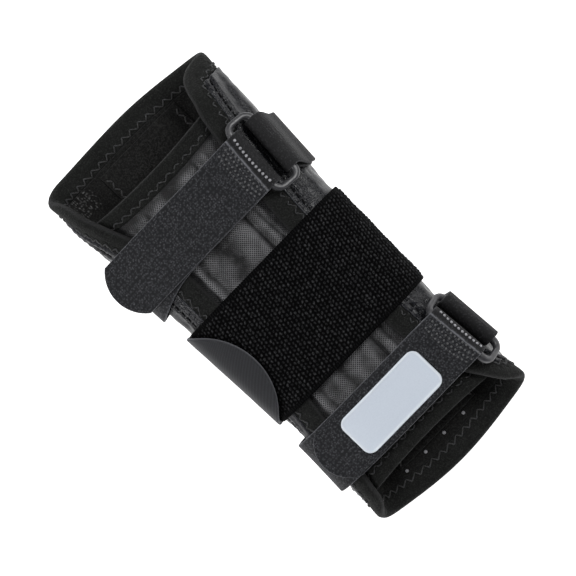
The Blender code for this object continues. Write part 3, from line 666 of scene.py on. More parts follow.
def twill_finish():
    """Smooth hook-tab cloth with fine diagonal ribs."""
    f = Finish("tab_twill", (0.022, 0.023, 0.029), 0.62, Specular_IOR_Level=0.3, Sheen_Weight=0.03)
    weave = f.weave()
    rib = f.wave(f.scaled(weave, 1.0, 1.0, turn=0.7), 0.34)
    cross = f.wave(f.scaled(weave, 1.0, 1.0, turn=-0.6), 0.5)
    grain = f.noise(weave, 1.1, 3)
    ribs = f.math("MULTIPLY", rib, f.level(cross, 0.0, 1.0, 0.65, 1.0))
    tone = f.blend(f.math("MULTIPLY", ribs, f.level(grain, 0.3, 0.7, 0.4, 1.0)),
                   (0.0095, 0.010, 0.0125), (0.020, 0.021, 0.026))
    # Pale colour at the masked rims: partly overlocked and worn edge, partly a painted edge
    # highlight.
    f.paint(f.blend(f.mask(weave), tone, (0.16, 0.165, 0.18)))
    f.bump(ribs, 0.09, 0.6)
    return f.material


def pile_finish():
    """Loop-pile elastic, coloured by the height of the loops: painted shade in the black valleys,
    painted highlight on the grey loop tips.
    """
    f = Finish("loop_pile", (0.006, 0.006, 0.007), 0.85, Specular_IOR_Level=0.05)
    weave = f.weave()
    grain = f.noise(weave, 2.2, 2)
    # Loop height sets the colour: painted shade low down, painted highlight at the tips.
    tip = f.math("MULTIPLY", f.level(f.mask(weave), 0.30, 1.0),
                 f.level(grain, 0.34, 0.66, 0.05, 1.0))
    f.paint(f.blend(tip, (0.0012, 0.0012, 0.0014), (0.078, 0.079, 0.083)))
    f.bump(grain, 0.30, 0.8)
    return f.material


def mesh_finish():
    """Open stretch mesh: two sets of slanting threads over dark holes, with a painted highlight on
    fold tops and painted shade in fold valleys.
    """
    f = Finish("stretch_mesh", (0.05, 0.05, 0.054), 0.42, Specular_IOR_Level=0.4, Sheen_Weight=0.03)
    weave = f.weave()
    one = f.wave(f.scaled(weave, 1.0, 1.0, turn=math.pi / 4), 0.40)
    two = f.wave(f.scaled(weave, 1.0, 1.0, turn=-math.pi / 4), 0.40)
    thread = f.math("MAXIMUM", one, two)
    strand = f.level(thread, 0.45, 0.95)
    cloud = f.noise(weave, 0.22, 3)
    # Painted light and shade: strands lighter where the mask (fold height) is high, darker where it
    # is low.
    height = f.math("ADD", f.mask(weave), f.level(cloud, 0.25, 0.75, -0.25, 0.20))
    painted_fold_light = f.blend(f.level(height, 0.22, 0.95), (0.009, 0.009, 0.010), (0.210, 0.210, 0.220))
    f.paint(f.blend(strand, (0.004, 0.004, 0.0045), painted_fold_light))
    f.bump(thread, 0.22, 0.8)
    return f.material


def lining_finish():
    f = Finish("brushed_lining", (0.010, 0.010, 0.010), 0.95, Specular_IOR_Level=0.1,
               Sheen_Weight=0.05, Sheen_Roughness=0.6)
    place = f.object_mm()
    nap = f.noise(place, 1.5, 3, 0.7)
    cloud = f.noise(place, 0.10, 4)
    tone = f.blend(f.level(cloud, 0.3, 0.75), (0.003, 0.003, 0.003), (0.008, 0.008, 0.0078))
    tone = f.blend(f.level(nap, 0.44, 0.74), tone, (0.030, 0.030, 0.029))
    f.paint(f.blend(f.level(f.mask(f.weave()), 0.15, 0.8), tone, (0.150, 0.150, 0.150)))
    f.bump(nap, 0.4, 0.7)
    return f.material


def simple_finish(name, colour, roughness, size, relief, spread_tone=1.5, **sockets):
    """A colour with cloudy tone and fine relief, for threads and moulded pieces."""
    f = Finish(name, colour, roughness, **sockets)
    place = f.object_mm()
    grain = f.noise(place, 1 / size, 4)
    f.paint(f.blend(f.level(grain, 0.3, 0.7), tuple(c / spread_tone for c in colour),
                    tuple(min(1, c * spread_tone) for c in colour)))
    f.rough(f.level(grain, 0.3, 0.7, roughness * 0.85, min(1, roughness * 1.15)))
    f.bump(grain, relief, 0.6)
    return f


def label_finish():
    f = Finish("label_rubber", (0.645, 0.708, 0.80), 0.5, Specular_IOR_Level=0.4)
    place = f.object_mm()
    grain = f.noise(place, 1.5, 3)
    tone = f.blend(f.level(grain, 0.3, 0.7), (0.630, 0.692, 0.785), (0.660, 0.724, 0.815))
    f.paint(f.blend(f.mask(f.weave()), tone, (0.80, 0.85, 0.91)))
    f.bump(grain, 0.05, 0.4)
    return f.material


def metal_finish():
    f = Finish("stay_metal", (0.62, 0.63, 0.65), 0.34, Metallic=1.0)
    place = f.object_mm()
    brushed = f.noise(f.scaled(place, 3.0, 0.05, 1.0), 1.0, 4)
    f.rough(f.level(brushed, 0.3, 0.7, 0.26, 0.46))
    f.paint(f.blend(f.level(brushed, 0.3, 0.7), (0.52, 0.53, 0.55), (0.68, 0.69, 0.71)))
    f.bump(brushed, 0.03, 0.5)
    return f.material


def hook_finish():
    f = Finish("hook_tape", (0.012, 0.012, 0.014), 0.5)
    weave = f.weave()
    hooks = f.cells(f.scaled(weave, 1 / 0.8, 1 / 0.8), 1.0, jitter=0.2)
    stub = f.level(hooks, 0.1, 0.4, 1.0, 0.0)
    f.paint(f.blend(stub, (0.006, 0.006, 0.007), (0.045, 0.045, 0.05)))
    f.bump(stub, 0.5, 0.9)
    return f.material


# The last colour of each neoprene is its lighter rim: partly worn, partly a painted edge highlight.
NEOPRENE = neoprene_finish("neoprene", (0.0072, 0.0076, 0.0072), (0.024, 0.024, 0.025))
BACKING = neoprene_finish("back_neoprene", (0.010, 0.0105, 0.010), (0.026, 0.026, 0.027))
LEATHER_SKIN = leather_finish()
WEB = webbing_finish("strap_webbing", (0.0085, 0.009, 0.011), (0.135, 0.138, 0.152), 0.3)
FOLD_WEB = webbing_finish("fold_webbing", (0.008, 0.008, 0.009), (0.050, 0.051, 0.056), 0.2)
ANCHOR_WEB = webbing_finish("anchor_webbing", (0.010, 0.010, 0.011), (0.046, 0.046, 0.050), 0.1)
TWILL = twill_finish()
PILE = pile_finish()
NET = mesh_finish()
LINER = lining_finish()
HOOKS = hook_finish()
PLASTIC = simple_finish("ring_plastic", (0.040, 0.040, 0.044), 0.33, 1.1, 0.05, 1.2).material
THREAD = simple_finish("seam_thread", (0.020, 0.020, 0.021), 0.6, 0.5, 0.08, 1.6,
                       Sheen_Weight=0.2).material
# Brighter thread for the zigzag tips: a painted highlight where the thread stands proud.
SEAM_TIP_HIGHLIGHT = simple_finish("seam_tip_highlight", (0.036, 0.037, 0.039), 0.5, 0.5, 0.08, 1.5).material
TIP_THREAD = simple_finish("proud_thread", (0.075, 0.076, 0.079), 0.5, 0.5, 0.08, 1.5).material
# Near-black thread for the leather topstitch: partly the thread's own black, partly painted shade
# of the sunken stitch holes.
DARK_THREAD = simple_finish("dark_thread", (0.004, 0.004, 0.0045), 0.7, 0.5, 0.08, 1.5,
                            Specular_IOR_Level=0.1).material
PALE_THREAD = simple_finish("pale_thread", (0.30, 0.30, 0.32), 0.5, 0.5, 0.08, 1.3).material
RUBBER = label_finish()
METAL = metal_finish()


# ---- sleeve pieces -----------------------------------------------------------------------

def side_line(side, inset):
    return lambda y: flap_edge(side, y) - side * inset


def end_line(end, inset):
    return lambda s: end_edge(end, s) - math.copysign(inset, end)


SIDE_COUNT, END_COUNT = 420, 300


def meeting(side, end):
    """The y where a side line and an end line cross."""
    y = np.array(float(end(np.array(0.0))))
    for _ in range(14):
        y = end(side(y))
    return float(y)


def border_path(inset, soften):
    """A closed line round the sleeve's pattern, as (y, s), a given distance in from its edge."""
    right, left = side_line(1, inset), side_line(-1, inset)
    top, bottom = end_line(FOREARM_END, inset), end_line(HAND_END, inset)
    corners = [meeting(right, bottom), meeting(right, top), meeting(left, top),
               meeting(left, bottom)]
    up = np.linspace(corners[0], corners[1], SIDE_COUNT, endpoint=False)
    down = np.linspace(corners[2], corners[3], SIDE_COUNT, endpoint=False)
    s_top = np.linspace(float(right(corners[1])), float(left(corners[2])), END_COUNT,
                        endpoint=False)
    s_low = np.linspace(float(left(corners[3])), float(right(corners[0])), END_COUNT,
                        endpoint=False)
    y = np.concatenate([up, top(s_top), down, bottom(s_low)])
    s = np.concatenate([right(up), s_top, left(down), s_low])
    reach = 42
    kernel = np.exp(-0.5 * (np.arange(-reach, reach + 1) / soften) ** 2)
    kernel /= kernel.sum()
    return [np.convolve(np.concatenate([v[-reach:], v, v[:reach]]), kernel, "valid") for v in (y,
            s)]


OUTER_Y, OUTER_S = border_path(0.0, 13.0)
INNER_Y, INNER_S = border_path(FACING_WIDTH, 5.0)
BORDER_COUNT = len(OUTER_Y)


def border_place(p, inward):
    """(y, s) at a share p round the border and a distance in from the edge."""
    where = p * BORDER_COUNT
    near = [np.interp(where, np.arange(BORDER_COUNT), v, period=BORDER_COUNT)
            for v in (OUTER_Y, OUTER_S, INNER_Y, INNER_S)]
    t = inward / FACING_WIDTH
    return mix(near[0], near[2], t), mix(near[1], near[3], t)


def border(p, inward, lift):
    y, s = border_place(p, inward)
    return skin(y, s, lift)


def border_shares(step):
    """Shares round the border at even steps, in millimetres, along its middle."""
    p = np.arange(BORDER_COUNT + 1) / BORDER_COUNT
    line = border(p, 0.5 * FACING_WIDTH, 0.0)
    length = np.concatenate([[0], np.cumsum(np.linalg.norm(np.diff(line, axis=0), axis=1))])
    count = 2 * round(length[-1] / step / 2)
    return np.interp(np.arange(count + 1) / count * length[-1], length, p)


def make_border():
    p = border_shares(0.62)[:-1]
    inward = spread(FACING_WIDTH, 0.5, 1.5) * FACING_WIDTH
    grid_p, grid_in = np.meshgrid(p, inward, indexing="ij")
    grid = border(grid_p, grid_in, -FACING / 2)
    around = np.arange(len(p))[:, None] * 0.62
    puff = 0.22 * np.sin(math.pi * np.clip(grid_in / 6.4, 0, 1))
    beat = -np.cos(math.tau * around / (2 * ZIGZAG_STEP))
    pull = (-0.30 * hump(grid_in, 7.6, 1.0) * (0.7 + 0.3 * beat)
            - 0.40 * hump(grid_in, 6.1, 0.5) * np.clip(beat, 0, 1) ** 2)
    soft = 0.16 * ripple(around, grid_in, 17, 3)
    swell, inner_swell = settle(grid, FACING, smooth((grid_in - 4.5) / 1.5), 0.5, ring=True)
    # The mask paints a light line along the free edge: a painted edge highlight.
    made = sheet("neoprene_border", grid, FACING, NEOPRENE, (0, 0, 2.0, 0.9),
                 over=puff + pull + soft + swell,
                 under=puff - 0.3 * hump(grid_in, 8.0, 0.9) + inner_swell, ring=True,
                 mask=0.75 * hump(grid_in, 0.3, 0.45))
    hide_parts("facing_right", "facing_left", "facing_forearm_end", "facing_hand_end")
    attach(made, "sleeve")


def make_border_seams():
    holes = border_shares(ZIGZAG_STEP)
    outside = zigzag(border, holes, 6.6, 8.9, -0.14)
    inside = zigzag(border, holes, 6.8, 8.9, -FACING + 0.04)
    for name, rows, lift in (("border_zigzag", outside, 0.05),
                             ("border_zigzag_inside", inside, -FACING - 0.06)):
        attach(threads(name, rows, BLACK_THREAD, THREAD), "sleeve")
        tips = tip_stitches(border, holes, 6.6, 7.8, lift, first=1)
        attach(threads(name + "_tips", tips, 0.25, SEAM_TIP_HIGHLIGHT), "sleeve")


def back_seam(side, extra):
    return lambda y: station_distance(y, side * BACK_SEAM_STATION) + side * extra


def panel_grid(left, right, inset, width, lift, step=0.6):
    low, high = end_line(HAND_END, inset), end_line(FOREARM_END, inset)
    v = spread(FOREARM_END - HAND_END - 2 * inset, step)
    u = spread(width, step)
    grid_v, grid_u = np.meshgrid(v, u, indexing="ij")
    y, s = panel_place(left, right, low, high, grid_u, grid_v)
    return skin(y, s, lift), y, s


def make_leather(side):
    edge = side_line(side, FACING_WIDTH - 0.15)
    seam = back_seam(side, 0.25)
    left, right = (seam, edge) if side > 0 else (edge, seam)
    grid, y, s = panel_grid(left, right, FACING_WIDTH - 0.15, 50, -LEATHER / 2 + 0.12)
    inward = np.abs(s - edge(y))

    def stitch_line(y):
        return 3.0 + 0 * y if side > 0 else mix(4.8, 2.2, smooth((y - 35) / 40))
    row = inward - stitch_line(y)
    stitch = 0.5 + 0.5 * np.cos(math.tau * y / TOPSTITCH)
    pucker = 0.5 + 0.5 * np.cos(math.tau * y / TOPSTITCH + 1.3 * ripple(y, s, 12, 6))
    over = (-0.60 * hump(row, 0, 0.7) * (0.5 + 0.5 * stitch)
            + 0.42 * hump(np.abs(row), 1.7, 0.8) * (0.30 + 0.70 * pucker)
            - 0.60 * hump(inward, 8.5, 2.2) + 0.30 * hump(inward, 13.0, 2.4)
            + (1.5 * hump(y, 76, 13) * hump(inward, 12, 8) if side < 0 else 0)
            + 0.22 * ripple(y * 0.45, s, 13, 11 + side)
            + 0.12 * ripple(y, s * 0.6, 6, 21 + side) * smooth((inward - 5) / 4))
    sewn = np.clip(hump(row, 0, 1.2) + (inward < 2) + (np.abs(y) > 84), 0, 1)
    swell, _ = settle(grid, LEATHER, sewn, 0.8)
    free = np.prod([1 - smooth((STRAP_WIDTH * w / 2 + 4 - np.abs(y - middle)) / 5) for middle, w in
                    ((UPPER["y"], 1), (LOWER["y"], 1), (BAND_Y, 2))], 0)
    over = over * mix(0.35, 1, free) + swell * mix(0.05, 1, free)
    name = "leather_right" if side > 0 else "leather_left"
    made = sheet(name, grid, LEATHER, LEATHER_SKIN, (0.6,) * 4, over=over)
    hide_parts("side_panel_right" if side > 0 else "side_panel_left")
    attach(made, "sleeve")

    def surface(along, across, lift):
        return skin(along, edge(along) - side * (stitch_line(along) + across), lift)
    holes = np.arange(-84.5, 82.0, TOPSTITCH)
    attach(threads(name + "_topstitch", running(surface, holes, 0.0, -0.05), 0.30, DARK_THREAD),
            "sleeve")


def make_back():
    grid, y, s = panel_grid(back_seam(-1, -0.25), back_seam(1, -0.25), FACING_WIDTH, 44,
                            -LEATHER / 2, 0.9)
    made = sheet("neoprene_back", grid, LEATHER, BACKING, (0.6,) * 4,
                 over=0.05 * ripple(y, s, 18, 31))
    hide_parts("outer_back_panel")
    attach(made, "sleeve")
    for side in (-1, 1):
        seam = back_seam(side, 0)

        def surface(along, across, lift):
            return skin(along, seam(along) + side * across, lift)
        holes = np.arange(HAND_END + 12, FOREARM_END - 12, TOPSTITCH)
        rows = np.concatenate([running(surface, holes, across, 0.05) for across in (-2.0, 2.0)])
        name = "back_seam_right" if side > 0 else "back_seam_left"
        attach(threads(name, rows, 0.24, THREAD), "sleeve")


def make_lining():
    inset = FACING_WIDTH - 0.2
    grid, y, s = panel_grid(side_line(-1, inset), side_line(1, inset), inset, 132,
                            -(LEATHER + LINING_GAP + LINING / 2), 0.7)
    patch = (smooth((y - 76) / 2) * smooth((90 - y) / 2)
             * smooth((-27 - s) / 2) * smooth((s + 47) / 2))
    i, j = np.floor(y / 1.15), np.floor(s / 1.15)
    off = np.hypot(y / 1.15 - i - 0.25 - 0.5 * scatter(i, j, 1),
                   s / 1.15 - j - 0.25 - 0.5 * scatter(i, j, 2))
    tuft = scatter(i, j)
    rough = patch * (tuft > 0.35) * (0.3 + 0.7 * tuft) * np.exp(-(off / 0.33) ** 2)
    sewn = np.clip(smooth((23 - np.abs(s)) / 2) + (np.abs(np.abs(s) - 30) < 2.5), 0, 1)
    _, swell = settle(grid, LINING, sewn, 0.6)
    under = swell + 0.10 * ripple(y, s, 8, 41) + 0.06 * ripple(y, s, 2.6, 43) + 0.45 * rough
    made = sheet("brushed_lining", grid, LINING, LINER, (0.8,) * 4, under=under, mask=rough,
                 inside=True)
    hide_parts("lining")
    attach(made, "sleeve")


def make_grip_dots():
    """Four small moulded dots on the lining, near the hand end."""
    x = np.array([-20.0, -9.2, 1.5, 12.7])
    y = np.full(4, -86.0)
    lift = -(LEATHER + LINING_GAP + LINING)
    ups = skin(y, x, lift - 1) - skin(y, x, lift)
    made = beads("grip_dots", skin(y, x, lift), ups, 0.8, 0.6, PALE_THREAD)
    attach(made, "sleeve")


def make_pocket():
    """The cloth tunnel that holds the palm stay, with a flange sewn down along each side."""
    floor = BACK_HEIGHT + FACING + 0.35
    roof = floor + STAY_THICKNESS + 0.75
    knots = [(-21.4, floor), (-18.6, floor), (-17.4, floor + 0.5), (-16.4, roof - 0.4), (-15, roof),
             (0, roof + 0.25), (15, roof), (16.4, roof - 0.4), (17.4, floor + 0.5),
             (18.6, floor), (21.4, floor)]
    xs, zs = np.array(knots).T
    x = np.linspace(xs[0], xs[-1], 110)
    z = np.interp(x, xs, zs)
    z = np.convolve(np.pad(z, 3, mode="edge"), np.ones(7) / 7, "valid")
    y = mix(POCKET_BOTTOM, POCKET_TOP, spread(POCKET_TOP - POCKET_BOTTOM, 1.2))
    grid = np.stack(np.broadcast_arrays(x[None], y[:, None], z[None] + POCKET_CLOTH / 2), -1)
    made = sheet("stay_pocket_cloth", grid, POCKET_CLOTH, LINER, (0.4,) * 4,
                 under=0.05 * ripple(grid[..., 1], grid[..., 0], 9, 51), probe=(0.5, 0.1),
                 mask=np.zeros(grid.shape[:2]))
    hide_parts("stay_pocket")
    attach(made, "sleeve")

    def surface(along, across, lift):
        return np.stack([across, along, floor + POCKET_CLOTH + lift + 0 * along], -1)
    holes = np.arange(POCKET_BOTTOM + 1, POCKET_TOP - 1, ZIGZAG_STEP)
    rows = np.concatenate([zigzag(surface, holes, side * 18.7, side * 20.5,
                                  0.02) for side in (-1, 1)])
    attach(threads("pocket_zigzag", rows, 0.28, THREAD), "sleeve")


# Folds of the mesh front: (x at the forearm end, x at the hand end, height, spread)
MESH_FOLDS = [(-21.5, -24.5, 1.3, 1.5), (-18.6, -21.5, -0.6, 1.0), (-13.8, -14.5, 1.2, 3.0),
              (-6.0, -9.5, -0.7, 2.6), (2.8, -3.5, 1.1, 3.4), (5.5, 3.6, 0.7, 2.2),
              (8.2, 8.2, -1.0, 0.8), (10.3, 12.8, 1.0, 1.4), (12.0, 15.5, -0.7, 0.8),
              (14.4, 17.5, 0.9, 1.2)]


def strip_place(low, high, u, v):
    """(y, s) of a strip across the front with both ends tucked under the flaps."""
    bow = MESH_SMILE * (2 * u - 1) ** 2
    y = mix(low + bow * math.copysign(1, low),
            high + bow * math.copysign(1, high), v)
    right = flap_edge(1, y) - MESH_TUCK
    left = flap_edge(-1, y) + MESH_TUCK + 2 * mark(y, 3)
    return y, mix(right, left, u)


def fold_height(y, x):
    t = smooth((MESH_TOP - y) / (MESH_TOP - MESH_BOTTOM))
    total = 0.0
    for k, (start, stop, tall, wide) in enumerate(MESH_FOLDS):
        middle = mix(start, stop, t) + 0.7 * np.sin(y / 19 + k * 1.7)
        total = total + tall * (0.72 + 0.28 * np.sin(y / 11 + k)) * hump(x, middle, wide)
    return total + 0.25 * ripple(y * 0.5, x, 6, 57)


def make_mesh_front():
    top, bottom = MESH_TOP - MESH_BINDING_WIDTH, MESH_BOTTOM + MESH_BINDING_WIDTH
    v, u = spread(top - bottom + 6, 0.8), spread(64, 0.42)
    grid_v, grid_u = np.meshgrid(v, u, indexing="ij")
    y, s = strip_place(bottom - 3, top + 3, grid_u, grid_v)
    flat = skin(y, s, 0.0)
    tuck = smooth(np.minimum(grid_u, 1 - grid_u) * 64 / 9)
    tuck = tuck * smooth((np.minimum(grid_v, 1 - grid_v) * (top - bottom + 6) - 2.5) / 5)
    folds = fold_height(y, flat[..., 0]) * tuck
    grid = skin(y, s, -(FACING + MESH_DROP + MESH / 2) - 0.5 + folds + 0.5 * tuck)
    # The mask is painted light and shade: high on the fold ridges, low in the fold valleys and near
    # the tucked edges, where the flaps shade the mesh.
    made = sheet("mesh_front", grid, MESH, NET, (0.3,) * 4,
                 mask=np.clip(0.45 + 0.42 * folds, 0, 1) * (0.4 + 0.6 * tuck))
    width = float(run_lengths(grid, 1)[:, -1].mean()) * MM
    length = float(run_lengths(grid, 0)[-1].mean()) * MM
    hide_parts("mesh_panel")
    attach(made, "sleeve")
    for name, low, high, node, sign in (
            ("mesh_binding_forearm", top, MESH_TOP, "mesh_top_binding", 1),
            ("mesh_binding_hand", MESH_BOTTOM, bottom, "mesh_bottom_binding", -1)):
        v, u = spread(MESH_BINDING_WIDTH, 0.5, 1.0), spread(64, 0.6)
        grid_v, grid_u = np.meshgrid(v, u, indexing="ij")
        y, s = strip_place(low, high, grid_u, grid_v)
        layer = -(FACING + MESH_DROP + MESH_BINDING / 2) + 0.25
        edge = grid_v if sign > 0 else 1 - grid_v
        sewn = np.clip(smooth((0.45 - edge) / 0.1), 0, 1)
        swell, inner_swell = settle(skin(y, s, layer), MESH_BINDING, sewn, 0.5, step=3.0)
        # The mask paints a light line along the outer edge: a painted edge highlight.
        bound = sheet(name, skin(y, s, layer), MESH_BINDING, NEOPRENE, (1.0, 1.0, 0.6, 0.6),
                under=inner_swell, over=swell + 0.15 * ripple(y, s, 11,
                61) + 0.25 * edge - 0.35 * hump(edge, 0.3, 0.09), mask=0.5 * hump(edge, 0.97,
                0.06))
        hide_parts(node)
        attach(bound, "sleeve")

        def surface(along, across, lift, low=low, high=high):
            y, s = strip_place(low, high, along, across / MESH_BINDING_WIDTH)
            return skin(y, s, lift)
        holes = np.linspace(0.02, 0.98, 28)
        near, far = (1.2, 2.9) if sign > 0 else (MESH_BINDING_WIDTH - 1.2, MESH_BINDING_WIDTH - 2.9)
        rows = zigzag(surface, holes, near, far, layer + MESH_BINDING / 2 - 0.15)
        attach(threads(name + "_zigzag", rows, BLACK_THREAD, THREAD), "sleeve")
        tips = tip_stitches(surface, holes, far, mix(far, near, 0.45),
                            layer + MESH_BINDING / 2 + 0.15)
        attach(threads(name + "_zigzag_tips", tips, 0.27, SEAM_TIP_HIGHLIGHT), "sleeve")


# ---- wide band ---------------------------------------------------------------------------

def pile(s, t):
    """Height of the loop pile, 0 to 1, on staggered columns of loops."""
    i = np.floor(s / LOOP_COLUMN)
    shift = 0.5 * (i % 2) + 0.12 * scatter(i, 0, 3)
    j = np.floor(t / LOOP_ROW + shift)
    a = s / LOOP_COLUMN - i - 0.5 + 0.2 * (scatter(i, j, 1) - 0.5)
    b = t / LOOP_ROW + shift - j - 0.5 + 0.2 * (scatter(i, j, 2) - 0.5)
    tall = 0.62 + 0.38 * scatter(i, j)
    lean = np.where(i % 2, 0.4, -0.4)
    return tall * np.exp(-(np.abs(a) / 0.37) ** 2.4 - (np.abs(b - lean * a) / 0.44) ** 2.4)


def make_band():
    length = 208.0
    u, v = spread(length, 0.36), spread(BAND_WIDTH, 0.34)
    grid_u, grid_v = np.meshgrid(u, v, indexing="ij")
    y = BAND_Y + BAND_WIDTH * (grid_v - 0.5)
    station = mix(BAND_END, BAND_START, grid_u)
    tucked = smooth((station - BAND_TUCK) / 0.1)
    grid = skin(y, station_distance(y, station), FIRST_LAYER - 0.35 * tucked)
    s, t = run_lengths(grid, 0), grid_v * BAND_WIDTH
    edge = np.minimum(t, BAND_WIDTH - t)
    field = smooth((edge - 1.6) / 0.5)
    loops = pile(s, t) * field + 0.45 * (1 - field) * np.abs(np.sin(math.pi * s / 1.1))
    tall = (0.5 * field + 0.2) * (1 - tucked)
    sag = 0.10 * ripple(s, t, 13, 71) * (1 - tucked)
    # The pile height is also the mask that the finish turns into painted shade and highlight.
    made = sheet("loop_band", grid, WEBBING - 0.5, PILE, (0.5, 0.5, 0.5, 0.5),
                 over=0.15 * (1 - tucked) + tall * loops + sag, under=0.2 * (1 - tucked),
                 mask=loops, probe=(0.8, 0.5))
    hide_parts("mid_band")
    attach(made, "sleeve")


def mid_tab_place(u, v, inset=0.0, drop=0.0, back=8.0):
    """A point of the wide hook tab; back is how far it laps over the band's end."""
    y = BAND_Y + (BAND_WIDTH - 2 * inset) * (v - 0.5)
    reach = y - BAND_Y
    end_x = MID_TAB_TIP_X - MID_TAB_TIP_RADIUS + np.sqrt(MID_TAB_TIP_RADIUS ** 2 - reach ** 2)
    root = station_distance(y, MID_TAB_ROOT)
    end = front_distance(y, end_x) + inset
    distance = mix(root - inset + back, end, u)
    rise = smooth((root - distance) / 9.0)
    lift = mix(FIRST_LAYER + MID_TAB_BULGE, TAB_LAYER + MID_TAB_RISE, rise)
    return y, distance, lift + 0.3 * smooth((distance - root) / 4) - drop


def make_mid_tab():
    u, v = spread(36, 0.45), spread(BAND_WIDTH, 0.45)
    grid_u, grid_v = np.meshgrid(u, v, indexing="ij")
    y, s, lift = mid_tab_place(grid_u, grid_v)
    grid = skin(y, s, lift)
    tab = sheet("wide_hook_tab", grid, TAB, TWILL, (0.5, 0.6, 0.6, 0.6),
                over=0.06 * ripple(y, s, 12, 81))
    root = skin(BAND_Y, station_distance(BAND_Y, MID_TAB_ROOT), FIRST_LAYER + MID_TAB_BULGE)
    up = skin(BAND_Y, station_distance(BAND_Y, MID_TAB_ROOT) - 6.0, FIRST_LAYER + MID_TAB_BULGE)
    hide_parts("mid_tab")
    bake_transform(tab)

    grid_u, grid_v = np.meshgrid(mix(0.62, 1.0, spread(14, 0.45)), spread(BAND_WIDTH - 7, 0.45),
                                 indexing="ij")
    drop = TAB / 2 + HOOK_TAPE / 2 + 0.05
    y, s, lift = mid_tab_place(grid_u, grid_v, MID_HOOK_INSET, drop)
    hook = sheet("wide_tab_hooks", skin(y, s, lift), HOOK_TAPE, HOOKS, (0.3,) * 4)
    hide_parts("mid_hook_tape")
    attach(hook, "mid_tab")

    def surface(along, across, lift):
        u = along / 36.0
        y, s, base = mid_tab_place(u, across / BAND_WIDTH)
        return skin(y, s, base + lift)
    holes = np.arange(1.5, BAND_WIDTH - 1, 2.6)

    def turned(along, across, lift):
        return surface(across, along, lift)
    rows = np.concatenate([running(turned, holes, row, TAB / 2 + 0.02, 0.3) for row in (1.6, 5.0)])
    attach(threads("wide_tab_stitches", rows, 0.22, THREAD), "sleeve")


# ---- rings and straps --------------------------------------------------------------------

class RingSeat:
    """Where a ring lies, as the CAD part has it."""

    def __init__(self, spec):
        self.y = spec["y"]
        slope = 0.0
        for _ in range(8):
            foot = spec["ring_x"] - RING_LIFT * math.sin(slope)
            s = float(front_distance(self.y, foot))
            here = skin(self.y, s, RING_LIFT)
            way = skin(self.y, s + 0.6) - skin(self.y, s - 0.6)
            slope = math.atan2(way[2], -way[0])
        self.slope = slope + math.radians(spec["lean"])
        self.out = np.array([math.cos(self.slope), 0, -math.sin(self.slope)])
        self.up = np.array([math.sin(self.slope), 0, math.cos(self.slope)])
        self.middle = here
        self.shear = math.tan(math.radians(spec["tilt"]))
        bar = np.array([0, 1, 0]) + self.shear * self.out
        self.bar = bar / np.linalg.norm(bar)
        self.inner = self.middle - self.out * RING_SPACING / 2
        self.outer = self.middle + self.out * RING_SPACING / 2

    def around(self, side, y, degrees, radius):
        start = self.inner if side < 0 else self.outer
        base = start + (y - self.y) * (np.array([0, 1, 0]) + self.shear * self.out)
        turn = math.radians(degrees)
        return base + radius * (math.cos(turn) * self.out + math.sin(turn) * self.up)

    def tangent(self, degrees):
        turn = math.radians(degrees)
        return -math.sin(turn) * self.out + math.cos(turn) * self.up


def hermite(start, start_way, end, end_way, count):
    t = (np.arange(1, count) / count)[:, None]
    reach = np.linalg.norm(end - start)
    return ((1 + 2 * t) * (1 - t) ** 2 * start + t * t * (3 - 2 * t) * end
            + reach * (t * (1 - t) ** 2 * start_way - t * t * (1 - t) * end_way))


def outline_way(y, s):
    way = skin(y, s + 0.6) - skin(y, s - 0.6)
    return way / np.linalg.norm(way)


def tab_route(spec, seat, y, tip_inset=0.0):
    """Middle line of a strap's tab at one y, from its turn round the ring to its tip."""
    radius = FOLD_RADIUS - TAB / 2
    turn = np.array([seat.around(-1, y, a, radius) for a in np.linspace(FOLD_START, FOLD_END, 22)])
    run_x = seat.inner[0] - STRAP_RUN_START
    s_first = float(front_distance(y, run_x))
    first = skin(y, s_first, TAB_LAYER)
    drop = hermite(turn[-1], seat.tangent(FOLD_END), first, outline_way(y, s_first), 10)
    run_xs = np.linspace(run_x, spec["droop_x"], 70)
    run = skin(y, front_distance(y, run_xs), TAB_LAYER)
    last_s = float(front_distance(y, spec["droop_x"]))
    if spec["droop_x"] < 0:
        last_s += 2 * float(mark(y, 3))
    last_way = outline_way(y, last_s)
    reach = min(abs(y - spec["y"]), 0.999 * spec["tip_radius"])
    tip_x = spec["tip_x"] + spec["tip_radius"] - math.sqrt(spec["tip_radius"] ** 2 - reach ** 2)
    length = (run[-1][0] - tip_x) / abs(last_way[0]) - tip_inset
    tail = run[-1] + last_way * (length * np.arange(1, 25) / 24)[:, None]
    return np.vstack([turn, drop, run, tail])


def resample(route, shares):
    """Points at shares of a route's length, and that length."""
    length = np.concatenate([[0], np.cumsum(np.linalg.norm(np.diff(route, axis=0), axis=1))])
    at = shares * length[-1]
    return np.stack([np.interp(at, length, route[:, k]) for k in range(3)], -1)


def strap_rows(width):
    return spread(width, 0.5) - 0.5


def grid_of_routes(route_at, ys, shares):
    return np.stack([resample(route_at(y), shares) for y in ys], 1)


def offset_grid(grid, amount, probe):
    n, _ = outward(grid, False, probe)
    return grid + n * amount


